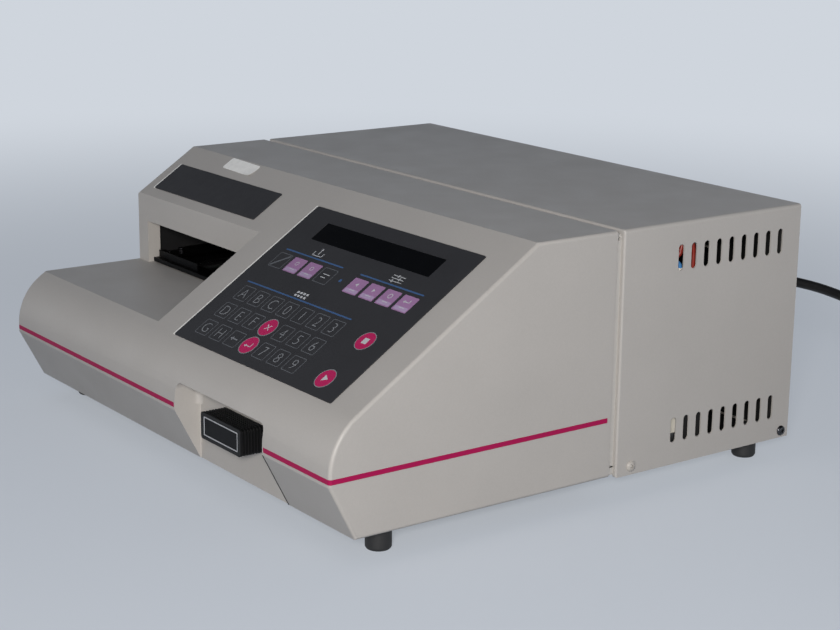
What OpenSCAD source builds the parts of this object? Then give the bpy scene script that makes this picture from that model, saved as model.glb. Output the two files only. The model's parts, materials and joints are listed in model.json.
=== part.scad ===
// Benchtop microplate reader.
//
// A moulded front housing with a sloping keypad console stands over a lower housing and a steel
// chassis pan. A rear cover with side vents closes the back. The microplate rides on a carrier
// that a lead screw drives out through the slot in the left bay, and a plug-in program cartridge
// sits in a finger recess at the front.
//
// Millimetres, +Z up, front towards -Y, +X to the viewer's right. The origin is on the table
// under the middle of the body. The modules are drawn with y = 0 at the front face, and
// from_front() moves them into place.

/* [Housing] */
// Width across the side walls
body_w = 410; // [404:1:430]
// Depth from the front face to the rear edge of the cover
body_d = 368; // [366:1:390]
// Height of the top above the table
body_h = 173; // [170:1:185]
// Height of the underside above the table, which is also the height of the feet
base_z = 16; // [12:1:18]
// Thickness of the moulded walls
wall = 3; // [2.5:0.5:3]
// Radius along the side edges of the mouldings
edge_r = 2.2; // [1.6:0.2:5]
// Angle of the console slope above the horizontal
slope_angle = 33; // [31:0.5:35]
// Radius of the rounded nose below the slope
nose_r = 40; // [36:1:42]

/* [Bay and plate slot] */
// Height of the deck that the microplate travels over
deck_z = 92; // [90:1:94]
// Left side of the console, where the bay ends
bay_right = -32; // [-34:0.5:-31]
// Depth from the front face to the wall with the plate slot
bay_back = 100; // [98:1:101]
// Height of the plate slot
slot_h = 31; // [28:1:32]
// Depth of the sleeve behind the plate slot
sleeve_depth = 10; // [6:0.5:10]

/* [Front details] */
// Height of the underside of the accent stripe
stripe_z = 52.3; // [51:0.1:54]
// Height of the accent stripe
stripe_h = 3.2; // [2:0.1:4]
// Width of the finger recess
recess_w = 105; // [95:1:110]
// Height of the top of the finger recess
recess_top = 69; // [66:1:72]
// Width of the program cartridge
cartridge_w = 47.4; // [44:0.2:50]
// Height of the program cartridge
cartridge_h = 17.2; // [15:0.2:18]
// Number of grip ribs on the cartridge
rib_count = 8; // [5:1:8]

/* [Rear cover] */
// Number of vents in each row
vent_count = 9; // [5:1:9]
// Distance from one vent to the next
vent_pitch = 11; // [8:0.5:11]
// Width of a vent
vent_w = 4; // [2:0.1:4.5]
// Height of a vent
vent_h = 15.6; // [10:0.2:18]

/* [Plate transport] */
// Length of the microplate footprint, across the carrier
plate_l = 127.8; // [127.5:0.1:128]
// Width of the microplate footprint, along the travel
plate_w = 85.5; // [85.2:0.1:85.7]
// Diameter of the guide rods and of the lead screw
rod_d = 8; // [6:1:8]
// Number of reading channels across the plate
channel_count = 12; // [8:1:12]
// Number of filters in the wheel
filter_count = 6; // [4:1:6]

/* [Hidden] */

$fn = 48;
edge_step = 15;            // turn from one station of a rounded side edge to the next, degrees
nose_steps = 9;            // flats that the nose is divided into
past = 1;                  // how far a cutting solid runs past a face
inside_r = 0.5;            // least radius along the side edges inside the mouldings

shell_rear = 208.5;        // rear edge of the front and lower housings
channel_w = 5.5;           // width of the channel between the housings and the rear cover
cover_front = shell_rear + channel_w;
toe_y = 18;                // how far the bottom front edge is set back
lip_z = 50.5;              // height where the lower front face meets the vertical lip
nose_z = 56;               // height where the nose leaves the vertical lip
nose_turn = 90 - slope_angle;
nose_end = [nose_r * (1 - cos(nose_turn)), nose_z + nose_r * sin(nose_turn)];
slope_foot_y = nose_end[0] + (deck_z - nose_end[1]) / tan(slope_angle);
slope_top_y = nose_end[0] + (body_h - nose_end[1]) / tan(slope_angle);

side_x = body_w / 2;
slot_left = -side_x + 14;
slot_right = bay_right - 4;
slot_top = deck_z + slot_h;
stripe_depth = 1.2;
recess_x = 81;             // middle of the finger recess
recess_back = 18.5;        // depth of the finger recess
recess_r = 5;

overlay_t = 0.6;
overlay_x = [-4, 178];     // left and right edges of the keypad overlay
overlay_s = [-4, 128];     // its lower and upper edges, measured up the slope from the deck
window_x = [22, 151.5];
window_s = [100.5, 117];
name_x = [-191.5, -50.7];
name_s = [101, 129];

foot_d = 16;
foot_inset = 18;
foot_y = [46, 346];
pan_t = 2;
pan_step_y = shell_rear + 0.5;     // where the pan starts to step down, behind the lower housing
panel_y = 358;             // front face of the rear panel
pan_rear = body_d - 2;
pan_front_z = base_z + wall;
pan_low_z = base_z;
floor_front = pan_front_z + pan_t;
floor_rear = pan_low_z + pan_t;
cover_bottom = base_z - 1.5;
vent_z = [37.9, 150.7];    // heights of the middles of the vent rows
vent_rear = 350;           // depth of the rearmost vents
vent_wall = 1;             // wall left round the vents, thinned from inside
flange_t = 1.5;            // thickness of the pan's side flanges
cover_screw_y = [226.5, body_d - 6.5];
cover_screw_z = floor_rear + 2.5;
screw_l = wall + flange_t - 0.1;   // shank, through the cover and the flange
panel_t = 2;

cartridge_x = 83.3;
cartridge_z = 49.5;
cartridge_front = 1;       // depth of the cartridge face behind the front face
cartridge_l = 58;
rib_t = 1.1;
rib_pitch = 2.1;
rib_height = 1.4;          // how far the ribs stand out from the cartridge core
core_w = cartridge_w - 2 * rib_height;
core_h = cartridge_h - 2 * rib_height;
guide_gap = 0.4;           // running gap round the cartridge core

carrier_gap = 0.4;         // room round the plate in its nest
carrier_front = bay_back + 2;   // front edge of the carrier when it is home, in the sleeve
carrier_rim = 6;
carrier_z = deck_z + 1.2;
carrier_floor = 3;
carrier_h = 8;
carrier_w = 146;
carrier_l = 141;
carrier_x = (slot_left + slot_right) / 2;
nest_l = plate_l + 2 * carrier_gap;
nest_w = plate_w + 2 * carrier_gap;
nest_front = carrier_front + carrier_rim;
read_y = 190.4;            // line along which the optics read the wells
well_pitch = 9;
rod_z = 84;
rod_left = carrier_x - 69.5;
rod_right = carrier_x + 67.5;
screw_z = 64;
runner_y = [carrier_front + carrier_l - 28, carrier_front + carrier_l];
runner_w = 16;
fit = 0.05;                // radial clearance of the running fits
front_plate_y = 112;
rear_plate_y = 316;
plate_t = 6;
plate_x = [carrier_x - 83, carrier_x + 82];
clip_at = [carrier_x - 67, carrier_front + 20];
hood_x = [plate_x[0] - 2.4, plate_x[1] + 3.9];
hood_y = [bay_back + sleeve_depth + 0.6, rear_plate_y + plate_t - 0.4];
hood_t = 1.2;
hood_top = 137.2;

light_z = 121;             // height of the light path
wheel_r = 28;
wheel_pcd = 44;
wheel_x = -5;
wheel_z = light_z - wheel_pcd / 2;
motor_size = 36;
lens_r = 3;
lens_bore_r = 6;

optics_y = [read_y - 12, read_y + 12];
post_left = plate_x[0];
post_right = plate_x[1] - 4;
bench_z = 60;
bench_x = [wheel_x - 3, 96];
lamp_x = [50, 92];

board_x = [8, 192];
board_y = [64, 160];
board_t = 1.6;
board_z = floor_front + 5;
trafo_x = [136, 199];
trafo_y = [240, 296];
trafo_top = floor_rear + 62;

// Supply leads of the lamp, from the top of the transformer to the wall of the lamp housing
lead_d = 3;
red_route = [
    [190, 276, trafo_top], [190.5, 276.3, 88], [193, 277.5, 100], [196.5, 278, 114], [198.8, 278, 126],
    [199.6, 278, 136], [199.8, 277.6, 145], [199.8, 276, 152], [199.8, 272.5, 156], [199.6, 268.5, 155.5],
    [199.2, 264, 152.5], [197.5, 256, 151], [190, 243, 152], [176, 229, 154], [158, 216, 153],
    [138, 204, 150], [117, 195, 145], [104, 192, 141.5], [lamp_x[1], 192, 141]];
blue_route = [
    [190, 262, trafo_top], [190.5, 262.2, 88], [193, 263.5, 100], [196.5, 265, 114], [198.8, 266.4, 125],
    [199.6, 267.2, 134], [199.6, 266.4, 141], [199, 261.5, 144.5], [196.5, 253, 145.5], [189, 240, 146],
    [175, 225, 147], [157, 211, 146], [137, 199, 142], [116, 189, 136], [104, 186, 133.2],
    [lamp_x[1], 186, 133]];

inlet_x = 125;
inlet_z = 100;
rocker_x = 166;
rocker_z = 105;
port_z = 100;
port_x = [-150, -70];

cord_d = 7;
// Route of the cord from its strain relief to the coil, then from the coil to the plug
cord_route = [
    [125, 408, 100], [125.2, 417, 100], [128.5, 426, 100], [134, 432, 99], [140, 436, 99],
    [148, 439, 98], [157, 440, 98], [172, 441, 97], [188, 441, 95], [204, 441, 90], [219, 441, 80],
    [231, 441, 66], [241, 441, 50], [251, 441, 34], [262, 441, 20], [275, 441, 10], [289, 441, 5],
    [302, 441, 4]];
plug_at = [266, 525, 9];
tail_route = [[302, 524, 17], [291, 525, 13], [279, 525, 9.4], plug_at + [0.3, 0, 0]];
coil_x = 324;
coil_y = 482.5;
coil_r = 38.5;             // radius at the middle of the turns
coil_w = 2 * cord_d;
coil_h = 3 * cord_d;
cord_sides = 8;

// ---------------------------------------------------------------- shared shapes

// Puts y = 0 at the front face of the body.
module from_front() translate([0, -body_d / 2, 0]) children();

// Box from its lowest corner to its highest.
module block(low, high) translate(low) cube(high - low);

// Flat shape drawn as seen from the front, made solid from depth y0 to depth y1.
module front_prism(y0, y1) translate([0, y1, 0]) rotate([90, 0, 0]) linear_extrude(y1 - y0) children();

// Flat shape drawn as seen from the right (y across, z up), solid from x0 to x1.
module side_prism(x0, x1) translate([x0, 0, 0]) rotate([90, 0, 90]) linear_extrude(x1 - x0) children();

// Round bar along X, from x0 to x1.
module x_bar(x0, x1, y, z, r) translate([x0, y, z]) rotate([0, 90, 0]) cylinder(h = x1 - x0, r = r);

// Round bar along Y, from y0 to y1.
module y_bar(y0, y1, x, z, r) translate([x, y1, z]) rotate([90, 0, 0]) cylinder(h = y1 - y0, r = r);

// Round bar along Z, from z0 to z1.
module z_bar(z0, z1, x, y, r) translate([x, y, z0]) cylinder(h = z1 - z0, r = r);

// Rectangle with round corners, centred, built so that its arcs stay true arcs.
module rounded_rect(w, h, r) {
    square([w - 2 * r, h], center = true);
    square([w, h - 2 * r], center = true);
    for (x = [-1, 1], y = [-1, 1]) translate([x * (w / 2 - r), y * (h / 2 - r)]) circle(r);
}

// Upright slot with round ends, centred.
module vent_shape(w, h) {
    square([w, h - w], center = true);
    for (side = [-1, 1]) translate([0, side * (h - w) / 2]) circle(d = w, $fn = 24);
}

// Places flat work on the console slope: x across, y up the slope from the deck, z outwards.
module on_slope() translate([0, slope_foot_y, deck_z]) rotate([slope_angle, 0, 0]) children();

function unit(v) = v / norm(v);

// Tube swept along a route, with one flat ring of corners at each of its points.
module swept_tube(line, d, sides) {
    last = len(line) - 1;
    rings = [for (i = [0 : last])
        let (ahead = unit(line[min(i + 1, last)] - line[max(i - 1, 0)]),
             flat = norm(cross(ahead, [0, 0, 1])) > 0.2 ? [0, 0, 1] : [1, 0, 0],
             across = unit(cross(ahead, flat)), up = cross(across, ahead))
        for (k = [0 : sides - 1])
            line[i] + d / 2 * (cos(360 * k / sides) * across + sin(360 * k / sides) * up)];
    walls = [for (i = [0 : last - 1], k = [0 : sides - 1])
        let (a = i * sides + k, b = i * sides + (k + 1) % sides)
        [a, a + sides, b + sides, b]];
    start = [for (k = [0 : sides - 1]) k];
    end = [for (k = [sides - 1 : -1 : 0]) last * sides + k];
    polyhedron(points = rings, faces = concat(walls, [start, end]), convexity = 6);
}

// ---------------------------------------------------------------- housing mouldings

// Side outline of the front and lower housings together, with a long run to the rear.
shell_outline = let (run = shell_rear + 40) concat(
    [[run, base_z], [toe_y, base_z], [0, lip_z]],
    [for (i = [0 : nose_steps])
        let (turn = nose_turn * i / nose_steps)
        [nose_r * (1 - cos(turn)), nose_z + nose_r * sin(turn)]],
    [[slope_top_y, body_h], [run, body_h]]);

// Corner i of a convex outline after its edges have moved in by a distance.
function inset_corner(outline, i, distance) =
    let (n = len(outline), corner = outline[i],
         along = unit(corner - outline[(i + n - 1) % n]), next = unit(outline[(i + 1) % n] - corner),
         in_a = [along[1], -along[0]], in_b = [next[1], -next[0]])
    corner + distance * (in_a + in_b) / (1 + in_a * in_b);

// Solid of that outline with rounded side edges, lofted from one inset outline to the next.
// With an inset it is the cavity inside a wall of that thickness.
module shell_form(inset) {
    r = max(edge_r - inset, inside_r);
    turns = [for (turn = [0 : edge_step : 90])
        [side_x - inset - r + r * sin(turn), inset + r - r * cos(turn)]];
    last = len(turns) - 1;
    stations = concat([for (i = [last : -1 : 0]) [-turns[i][0], turns[i][1]]], turns);
    n = len(shell_outline);
    corners = [for (at = stations, i = [0 : n - 1])
        let (corner = inset_corner(shell_outline, i, at[1])) [at[0], corner[0], corner[1]]];
    sides = [for (k = [0 : len(stations) - 2], i = [0 : n - 1])
        [k * n + i, k * n + (i + 1) % n, (k + 1) * n + (i + 1) % n, (k + 1) * n + i]];
    left_end = [for (i = [n - 1 : -1 : 0]) i];
    right_end = [for (i = [0 : n - 1]) (len(stations) - 1) * n + i];
    polyhedron(points = corners, faces = concat(sides, [left_end, right_end]), convexity = 4);
}

// Wall of the housings, open at the rear.
module shell_wall() difference() {
    shell_form(0);
    shell_form(wall);
    block([-body_w, shell_rear, 0], [body_w, body_d, 2 * body_h]);
}

// The open bay over the deck. Grown, it gives the outside of the bay's walls.
module bay_space(grow) block([-body_w, -past, deck_z - grow],
                             [bay_right + grow, bay_back + grow, 2 * body_h]);

// The finger recess in the front, open at the bottom, grown the same way.
module recess_space(grow) {
    w = recess_w + 2 * grow;
    r = recess_r + grow;
    front_prism(-past, recess_back + grow) translate([recess_x, 0]) {
        translate([-w / 2, 0]) square([w, recess_top + grow - r]);
        translate([-w / 2 + r, 0]) square([w - 2 * r, recess_top + grow]);
        for (side = [-1, 1]) translate([side * (w / 2 - r), recess_top + grow - r]) circle(r);
    }
}

// Outer walls with the recess moulded in, before the parting line divides them.
module housing_with_recess() {
    difference() {
        union() {
            shell_wall();
            intersection() {
                shell_form(0);
                recess_space(wall);
            }
        }
        recess_space(0);
        block([cartridge_x - core_w / 2 - guide_gap, 0, cartridge_z - core_h / 2 - guide_gap],
              [cartridge_x + core_w / 2 + guide_gap, recess_back + 2 * wall,
               cartridge_z + core_h / 2 + guide_gap]);
    }
}

// Sleeve that leads the plate carrier through the wall behind the deck.
module slot_sleeve() block([slot_left - wall, bay_back, deck_z - wall],
                           [slot_right + wall, bay_back + sleeve_depth, slot_top + wall]);

module slot_opening() block([slot_left, bay_back - past, deck_z],
                            [slot_right, bay_back + sleeve_depth + past, slot_top]);

// Band round the front and sides, between the parting line and the top of the stripe.
module stripe_band(depth) difference() {
    intersection() {
        shell_form(0);
        block([-body_w, -past, stripe_z - past], [body_w, shell_rear - 3, stripe_z + stripe_h]);
    }
    shell_form(depth);
    block([recess_x - recess_w / 2 - past, -past, 0], [recess_x + recess_w / 2 + past, 40, body_h]);
}

module front_housing() from_front() color([0.78, 0.76, 0.73]) difference() {
    union() {
        difference() {
            housing_with_recess();
            bay_space(0);
            stripe_band(stripe_depth);
        }
        difference() {
            intersection() {
                shell_form(0);
                bay_space(wall);
            }
            bay_space(0);
            block([-body_w, -past, 0], [body_w, body_d, deck_z - wall]);
        }
        slot_sleeve();
    }
    slot_opening();
    block([-body_w, -past, 0], [body_w, body_d, stripe_z]);
    on_slope() block([window_x[0], window_s[0], -2 * wall], [window_x[1], window_s[1], wall]);
}

module lower_housing() from_front() color([0.78, 0.76, 0.73]) difference() {
    housing_with_recess();
    block([-body_w, -past, stripe_z], [body_w, body_d, 2 * body_h]);
    for (side = [-1, 1]) {
        z_bar(base_z - past, base_z + wall + past, side * (side_x - foot_inset), foot_y[0], 2.6);
    }
}

module accent_stripe() from_front() color([0.66, 0.13, 0.37]) difference() {
    stripe_band(stripe_depth);
    block([-body_w, -past, 0], [body_w, body_d, stripe_z]);
}

// Steel arch inside the joint. It backs the channel, and both covers rest on it.
module bulkhead_frame() from_front() color([0.74, 0.72, 0.70]) {
    t = 2.5;
    difference() {
        front_prism(shell_rear - 10.5, cover_front + 10) difference() {
            arch_shape(wall, max(2.2, edge_r - wall + 0.2));
            arch_shape(wall + t, 1.5);
        }
        x_bar(-body_w, body_w, shell_rear + channel_w / 2, body_h - 6.4, 0.9);
    }
}

// Front view of the space inside the covers: square below, rounded at the top corners.
module arch_shape(inset, r) {
    w = body_w - 2 * inset;
    top = body_h - inset;
    translate([-w / 2, floor_front]) square([w, top - r - floor_front]);
    translate([-w / 2 + r, floor_front]) square([w - 2 * r, top - floor_front]);
    for (side = [-1, 1]) translate([side * (w / 2 - r), top - r]) circle(r);
}

module vent_row(z, row_rear) for (i = [0 : vent_count - 1])
    translate([row_rear - i * vent_pitch, z]) vent_shape(vent_w, vent_h);

module rear_cover() from_front() color([0.78, 0.76, 0.73]) difference() {
    w = body_w - 2 * wall;
    front_prism(cover_front, body_d) difference() {
        translate([0, (body_h + cover_bottom) / 2 - edge_r])
            rounded_rect(body_w, body_h - cover_bottom + 2 * edge_r, edge_r);
        translate([-w / 2, -past]) square([w, body_h - wall - 2 + past]);
        translate([-w / 2 + 2, 0]) square([w - 4, body_h - wall]);
        for (side = [-1, 1]) translate([side * (w / 2 - 2), body_h - wall - 2]) circle(2);
        translate([-body_w, cover_bottom - 4 * edge_r]) square([2 * body_w, 4 * edge_r]);
    }
    side_prism(-body_w, body_w) for (z = vent_z) vent_row(z, vent_rear);
    for (z = vent_z) {
        block([vent_wall - side_x, vent_rear - (vent_count - 0.2) * vent_pitch, z - vent_h / 2 - 3],
              [side_x - vent_wall, vent_rear + 0.8 * vent_pitch, z + vent_h / 2 + 3]);
    }
    for (y = cover_screw_y) x_bar(-body_w, body_w, y, cover_screw_z, 2.1);
}

module rear_panel() from_front() color([0.74, 0.72, 0.70]) front_prism(panel_y, panel_y + panel_t)
difference() {
    w = body_w - 2 * wall - 2 * flange_t - 0.4;
    translate([-w / 2, floor_rear]) square([w, body_h - wall - 2 - floor_rear]);
    translate([inlet_x, inlet_z + 8.5]) rounded_rect(28, 46, 2);
    translate([rocker_x, rocker_z]) square([20, 27], center = true);
    for (x = port_x) translate([x, port_z]) rounded_rect(42, 11, 3);
    for (x = [-30 : 12 : 66]) translate([x, 60]) vent_shape(4, 40);
}

// Joggled pan with side flanges that the rear cover screws to.
module chassis_pan() from_front() color([0.70, 0.71, 0.72]) difference() {
    union() {
        w = body_w - 2 * wall;
        side_prism(-w / 2, w / 2) polygon([
            [24, pan_front_z], [pan_step_y, pan_front_z], [pan_step_y + 5, pan_low_z],
            [pan_rear, pan_low_z], [pan_rear, floor_rear],
            [pan_step_y + 6, floor_rear], [pan_step_y + 1, floor_front], [24, floor_front]]);
        for (side = [-1, 1]) {
            x = side * (w - flange_t) / 2;
            block([x - flange_t / 2, cover_front + 10.5, floor_rear - 1],
                  [x + flange_t / 2, pan_rear, floor_rear + 10]);
        }
    }
    for (side = [-1, 1]) {
        corner = side * (body_w / 2 - wall - 1.5);
        translate([corner, 0, base_z - past]) cube([2 * wall, 2 * cover_front, 20], center = true);
    }
    for (side = [-1, 1], y = foot_y)
        z_bar(pan_low_z - past, floor_front + past, side * (side_x - foot_inset), y, 2.6);
    for (y = cover_screw_y) x_bar(-body_w, body_w, y, cover_screw_z, 2.1);
}

module rubber_feet() from_front() color([0.1, 0.1, 0.11])
for (side = [-1, 1], y = foot_y) translate([side * (side_x - foot_inset), y, 0])
    rotate_extrude() polygon([[2.6, 6], [2.6, base_z], [foot_d / 2, base_z], [foot_d / 2, 1.5],
                              [foot_d / 2 - 1, 0], [4.6, 0], [4.6, 6]]);

module foot_screws() from_front() color([0.6, 0.61, 0.62])
for (side = [-1, 1], i = [0, 1]) translate([side * (side_x - foot_inset), foot_y[i], 0]) {
    top = i == 0 ? floor_front : floor_rear;
    rotate_extrude($fn = 32) polygon([[0, 3.2], [3, 3.2], [4.2, 4.4], [4.2, 6], [2.5, 6],
                                      [2.5, top + 5], [0, top + 5]]);
}

// Domed screws that hold the rear cover to the flanges of the pan.
module cover_screws() from_front() color([0.62, 0.63, 0.64])
for (side = [-1, 1], y = cover_screw_y)
    translate([side * side_x, y, cover_screw_z]) rotate([0, side * 90, 0])
    rotate_extrude($fn = 32) polygon([[0, -screw_l], [2, -screw_l], [2, 0], [3.6, 0], [3.4, 0.8],
                                      [2.6, 1.5], [1.4, 1.8], [0, 1.8]]);

// ---------------------------------------------------------------- console

module keypad_overlay() from_front() color([0.20, 0.21, 0.23]) on_slope() difference() {
    w = overlay_x[1] - overlay_x[0];
    h = overlay_s[1] - overlay_s[0];
    translate([(overlay_x[0] + overlay_x[1]) / 2, (overlay_s[0] + overlay_s[1]) / 2, 0])
        linear_extrude(overlay_t) rounded_rect(w, h, 1.5);
    block([window_x[0], window_s[0], -past], [window_x[1], window_s[1], past]);
}

module display_window() from_front() color([0.05, 0.04, 0.05]) on_slope()
    block([window_x[0], window_s[0], -wall], [window_x[1], window_s[1], overlay_t - 0.2]);

module name_plate() from_front() color([0.20, 0.21, 0.23]) on_slope()
    translate([(name_x[0] + name_x[1]) / 2, (name_s[0] + name_s[1]) / 2, 0])
        linear_extrude(overlay_t) rounded_rect(name_x[1] - name_x[0], name_s[1] - name_s[0], 1);

// Display glass with its driver board, behind the window.
module display_module() from_front() color([0.1, 0.25, 0.16]) on_slope() {
    block([window_x[0] - 4, window_s[0] - 5, -wall - 5], [window_x[1] + 4, window_s[1] + 5, -wall]);
    block([window_x[0] - 12, window_s[0] - 10, -wall - 6.6],
          [window_x[1] + 12, window_s[1] + 8, -wall - 5]);
}

module main_board() from_front() color([0.1, 0.34, 0.2]) difference() {
    block([board_x[0], board_y[0], board_z], [board_x[1], board_y[1], board_z + board_t]);
    at_standoffs() z_bar(0, board_z + board_t + past, 0, 0, 1.6);
}

// Repeats its child at the four corners where the main board is held.
module at_standoffs() for (x = [board_x[0] + 6, board_x[1] - 6], y = [board_y[0] + 6, board_y[1] - 6])
    translate([x, y, 0]) children();

module board_chips() from_front() color([0.12, 0.12, 0.13]) {
    for (x = [20 : 26 : 150], y = [96, 116])
        block([x, y, board_z + board_t], [x + 16, y + 8, board_z + board_t + 4]);
    block([112, 134, board_z + board_t], [163, 149, board_z + board_t + 5]);
}

module board_standoffs() from_front() color([0.75, 0.75, 0.72]) at_standoffs() {
    z_bar(floor_front, board_z, 0, 0, 3);
    z_bar(board_z, board_z + board_t + 3, 0, 0, 1.5);
}

// ---------------------------------------------------------------- program cartridge

module cartridge_shape(w, h, r) translate([cartridge_x, cartridge_z]) rounded_rect(w, h, r);

// Plug-in cartridge with grip ribs all round its outer end and an edge board at the other.
module program_cartridge() from_front() color([0.09, 0.09, 0.1]) difference() {
    rear = cartridge_front + cartridge_l;
    union() {
        front_prism(cartridge_front, cartridge_front + 2) cartridge_shape(cartridge_w, cartridge_h, 2);
        front_prism(cartridge_front + 1, rear) cartridge_shape(core_w, core_h, 1);
        for (i = [1 : rib_count - 1]) {
            y = cartridge_front + 1 + i * rib_pitch;
            front_prism(y, y + rib_t) cartridge_shape(cartridge_w, cartridge_h, 2);
        }
        block([cartridge_x - 15, rear - past, cartridge_z - 0.8],
              [cartridge_x + 15, rear + 7, cartridge_z + 0.8]);
    }
    front_prism(0, cartridge_front + 0.5) cartridge_shape(cartridge_w - 7, cartridge_h - 5, 0.8);
}

// Thin light rim set in the face of the cartridge, round its bare label field.
module cartridge_label_frame() from_front() color([0.75, 0.75, 0.77])
front_prism(cartridge_front + 0.1, cartridge_front + 0.5) difference() {
    cartridge_shape(cartridge_w - 7, cartridge_h - 5, 0.8);
    cartridge_shape(cartridge_w - 8.4, cartridge_h - 6.4, 0.5);
}

// Sleeve behind the recess that the cartridge slides into.
module cartridge_guide() from_front() color([0.15, 0.15, 0.16]) difference() {
    inner_w = core_w + 2 * guide_gap;
    inner_h = core_h + 2 * guide_gap;
    union() {
        front_prism(recess_back + wall, cartridge_front + cartridge_l - 2)
            cartridge_shape(inner_w + 4, inner_h + 4, 2);
        for (side = [-1, 1]) {
            x = cartridge_x + side * 20;
            block([x - 2, 40, floor_front], [x + 2, 54, cartridge_z - inner_h / 2]);
        }
    }
    front_prism(recess_back, cartridge_front + cartridge_l) cartridge_shape(inner_w, inner_h, 1);
}

module cartridge_socket() from_front() color([0.14, 0.2, 0.3]) difference() {
    front = cartridge_front + cartridge_l + 2;
    block([cartridge_x - 22, front, board_z + board_t], [cartridge_x + 22, front + 11, cartridge_z + 6]);
    block([cartridge_x - 15.5, front - past, cartridge_z - 1.2],
          [cartridge_x + 15.5, front + 6.5, cartridge_z + 1.2]);
    block([cartridge_x - 24, front + 5, board_z], [cartridge_x + 24, front + 12, cartridge_z - 8]);
}

// ---------------------------------------------------------------- plate transport

// Flat tray with a nest for one microplate, open below the wells.
module plate_carrier() from_front() color([0.10, 0.10, 0.11]) difference() {
    left = carrier_x - carrier_w / 2;
    right = carrier_x + carrier_w / 2;
    rear = carrier_front + carrier_l;
    union() {
        block([left, carrier_front, carrier_z], [right, rear, carrier_z + carrier_floor]);
        block([left, carrier_front, carrier_z],
              [right, nest_front + nest_w + carrier_rim, carrier_z + carrier_h]);
    }
    block([carrier_x - nest_l / 2, nest_front, carrier_z + carrier_floor],
          [carrier_x + nest_l / 2, nest_front + nest_w, carrier_z + 2 * carrier_h]);
    block([carrier_x - 54, nest_front + 8, 0], [carrier_x + 54, nest_front + nest_w - 8, 2 * body_h]);
    block([left - past, carrier_front - past, carrier_z + carrier_floor],
          [right + past, carrier_front + 4.5, 2 * body_h]);
    block([carrier_x - 16, carrier_front, carrier_z + carrier_floor],
          [carrier_x + 16, nest_front + past, 2 * body_h]);
    z_bar(0, body_h, clip_at[0], clip_at[1], 1.5);
    block([left - past, clip_at[1] - 12, carrier_z + carrier_floor + 1],
          [carrier_x - nest_l / 2 + past, clip_at[1] + 6, 2 * body_h]);
}

// Runners under the rear of the carrier: bushed on both rods, and nutted on the screw.
module carrier_runners() from_front() color([0.72, 0.72, 0.74]) difference() {
    union() {
        block([rod_left - runner_w / 2, runner_y[0], rod_z - 8],
              [rod_left + runner_w / 2, runner_y[1], carrier_z]);
        block([rod_right - runner_w / 2, runner_y[0], screw_z - 9],
              [rod_right + runner_w / 2, runner_y[1], carrier_z]);
    }
    for (x = [rod_left, rod_right])
        y_bar(runner_y[0] - past, runner_y[1] + past, x, rod_z, rod_d / 2 + fit);
    y_bar(runner_y[0] - past, runner_y[1] + past, rod_right, screw_z, rod_d / 2 + fit);
}

module clip_pin() from_front() color([0.75, 0.75, 0.77]) {
    z_bar(carrier_z, carrier_z + carrier_h + 0.6, clip_at[0], clip_at[1], 1.5);
    z_bar(carrier_z + carrier_h, carrier_z + carrier_h + 1, clip_at[0], clip_at[1], 2.4);
}

// Small lever that steadies the plate from the side.
module plate_clip() from_front() color([0.6, 0.61, 0.63]) {
    low = carrier_z + carrier_floor + 1.3;
    high = carrier_z + carrier_h - 0.3;
    translate([clip_at[0], clip_at[1], low]) linear_extrude(high - low) difference() {
        union() {
            circle(2.6);
            translate([-1.2, -10]) square([2.4, 10]);
            translate([0, -10]) circle(1.6);
        }
        circle(1.5 + fit);
    }
}

module transport_plates() from_front() color([0.72, 0.72, 0.74])
for (y = [front_plate_y, rear_plate_y]) difference() {
    bottom = y == front_plate_y ? floor_front : floor_rear;
    block([plate_x[0], y, bottom], [plate_x[1], y + plate_t, deck_z]);
    block([plate_x[0] + 34, y - past, bottom + 14], [plate_x[1] - 44, y + plate_t + past, deck_z - 12]);
    for (x = [rod_left, rod_right]) y_bar(y - past, y + plate_t + past, x, rod_z, rod_d / 2);
    y_bar(y - past, y + plate_t + past, rod_right, screw_z, 8);
}

module guide_rods() from_front() color([0.82, 0.83, 0.85])
for (x = [rod_left, rod_right]) y_bar(front_plate_y, rear_plate_y + plate_t, x, rod_z, rod_d / 2);

module screw_bearings() from_front() color([0.66, 0.67, 0.69])
for (y = [front_plate_y, rear_plate_y]) difference() {
    y_bar(y, y + plate_t, rod_right, screw_z, 8);
    y_bar(y - past, y + plate_t + past, rod_right, screw_z, rod_d / 2 + fit);
}

module lead_screw() from_front() color([0.8, 0.8, 0.78])
    y_bar(front_plate_y - 1, rear_plate_y + plate_t + 16, rod_right, screw_z, rod_d / 2);

module transport_motor() from_front() color([0.16, 0.16, 0.17]) difference() {
    front = rear_plate_y + plate_t;
    front_prism(front, front + 30) translate([rod_right, screw_z]) rounded_rect(42, 42, 4);
    y_bar(front - past, front + 18, rod_right, screw_z, rod_d / 2 + fit);
    for (x = [-1, 1], z = [-1, 1])
        y_bar(front - past, front + 5, rod_right + 15.5 * x, screw_z + 15.5 * z, 1.5);
}

// Black sheet hood that keeps stray light off the plate, with a hole for the light tube.
module dark_chamber() from_front() color([0.09, 0.09, 0.1]) difference() {
    block([hood_x[0], hood_y[0], floor_front], [hood_x[1], hood_y[1], hood_top]);
    block([hood_x[0] + hood_t, 0, 0], [hood_x[1] - hood_t, hood_y[1] - hood_t, hood_top - hood_t]);
    block([hood_x[0] + hood_t, rear_plate_y - past, 0], [hood_x[1] - hood_t, body_d, deck_z + 0.6]);
    x_bar(hood_x[1] - 2 * hood_t, hood_x[1] + past, read_y, light_z, 8.4);
}

// Forked light gate that finds the carrier's home place.
module home_sensor() from_front() color([0.13, 0.13, 0.14]) {
    x = plate_x[0];
    difference() {
        block([x + 16, 262, floor_rear], [x + 26, 274, 72]);
        block([x + 14, 266, 62], [x + 28, 270, 73]);
    }
}

// ---------------------------------------------------------------- optics

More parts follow.
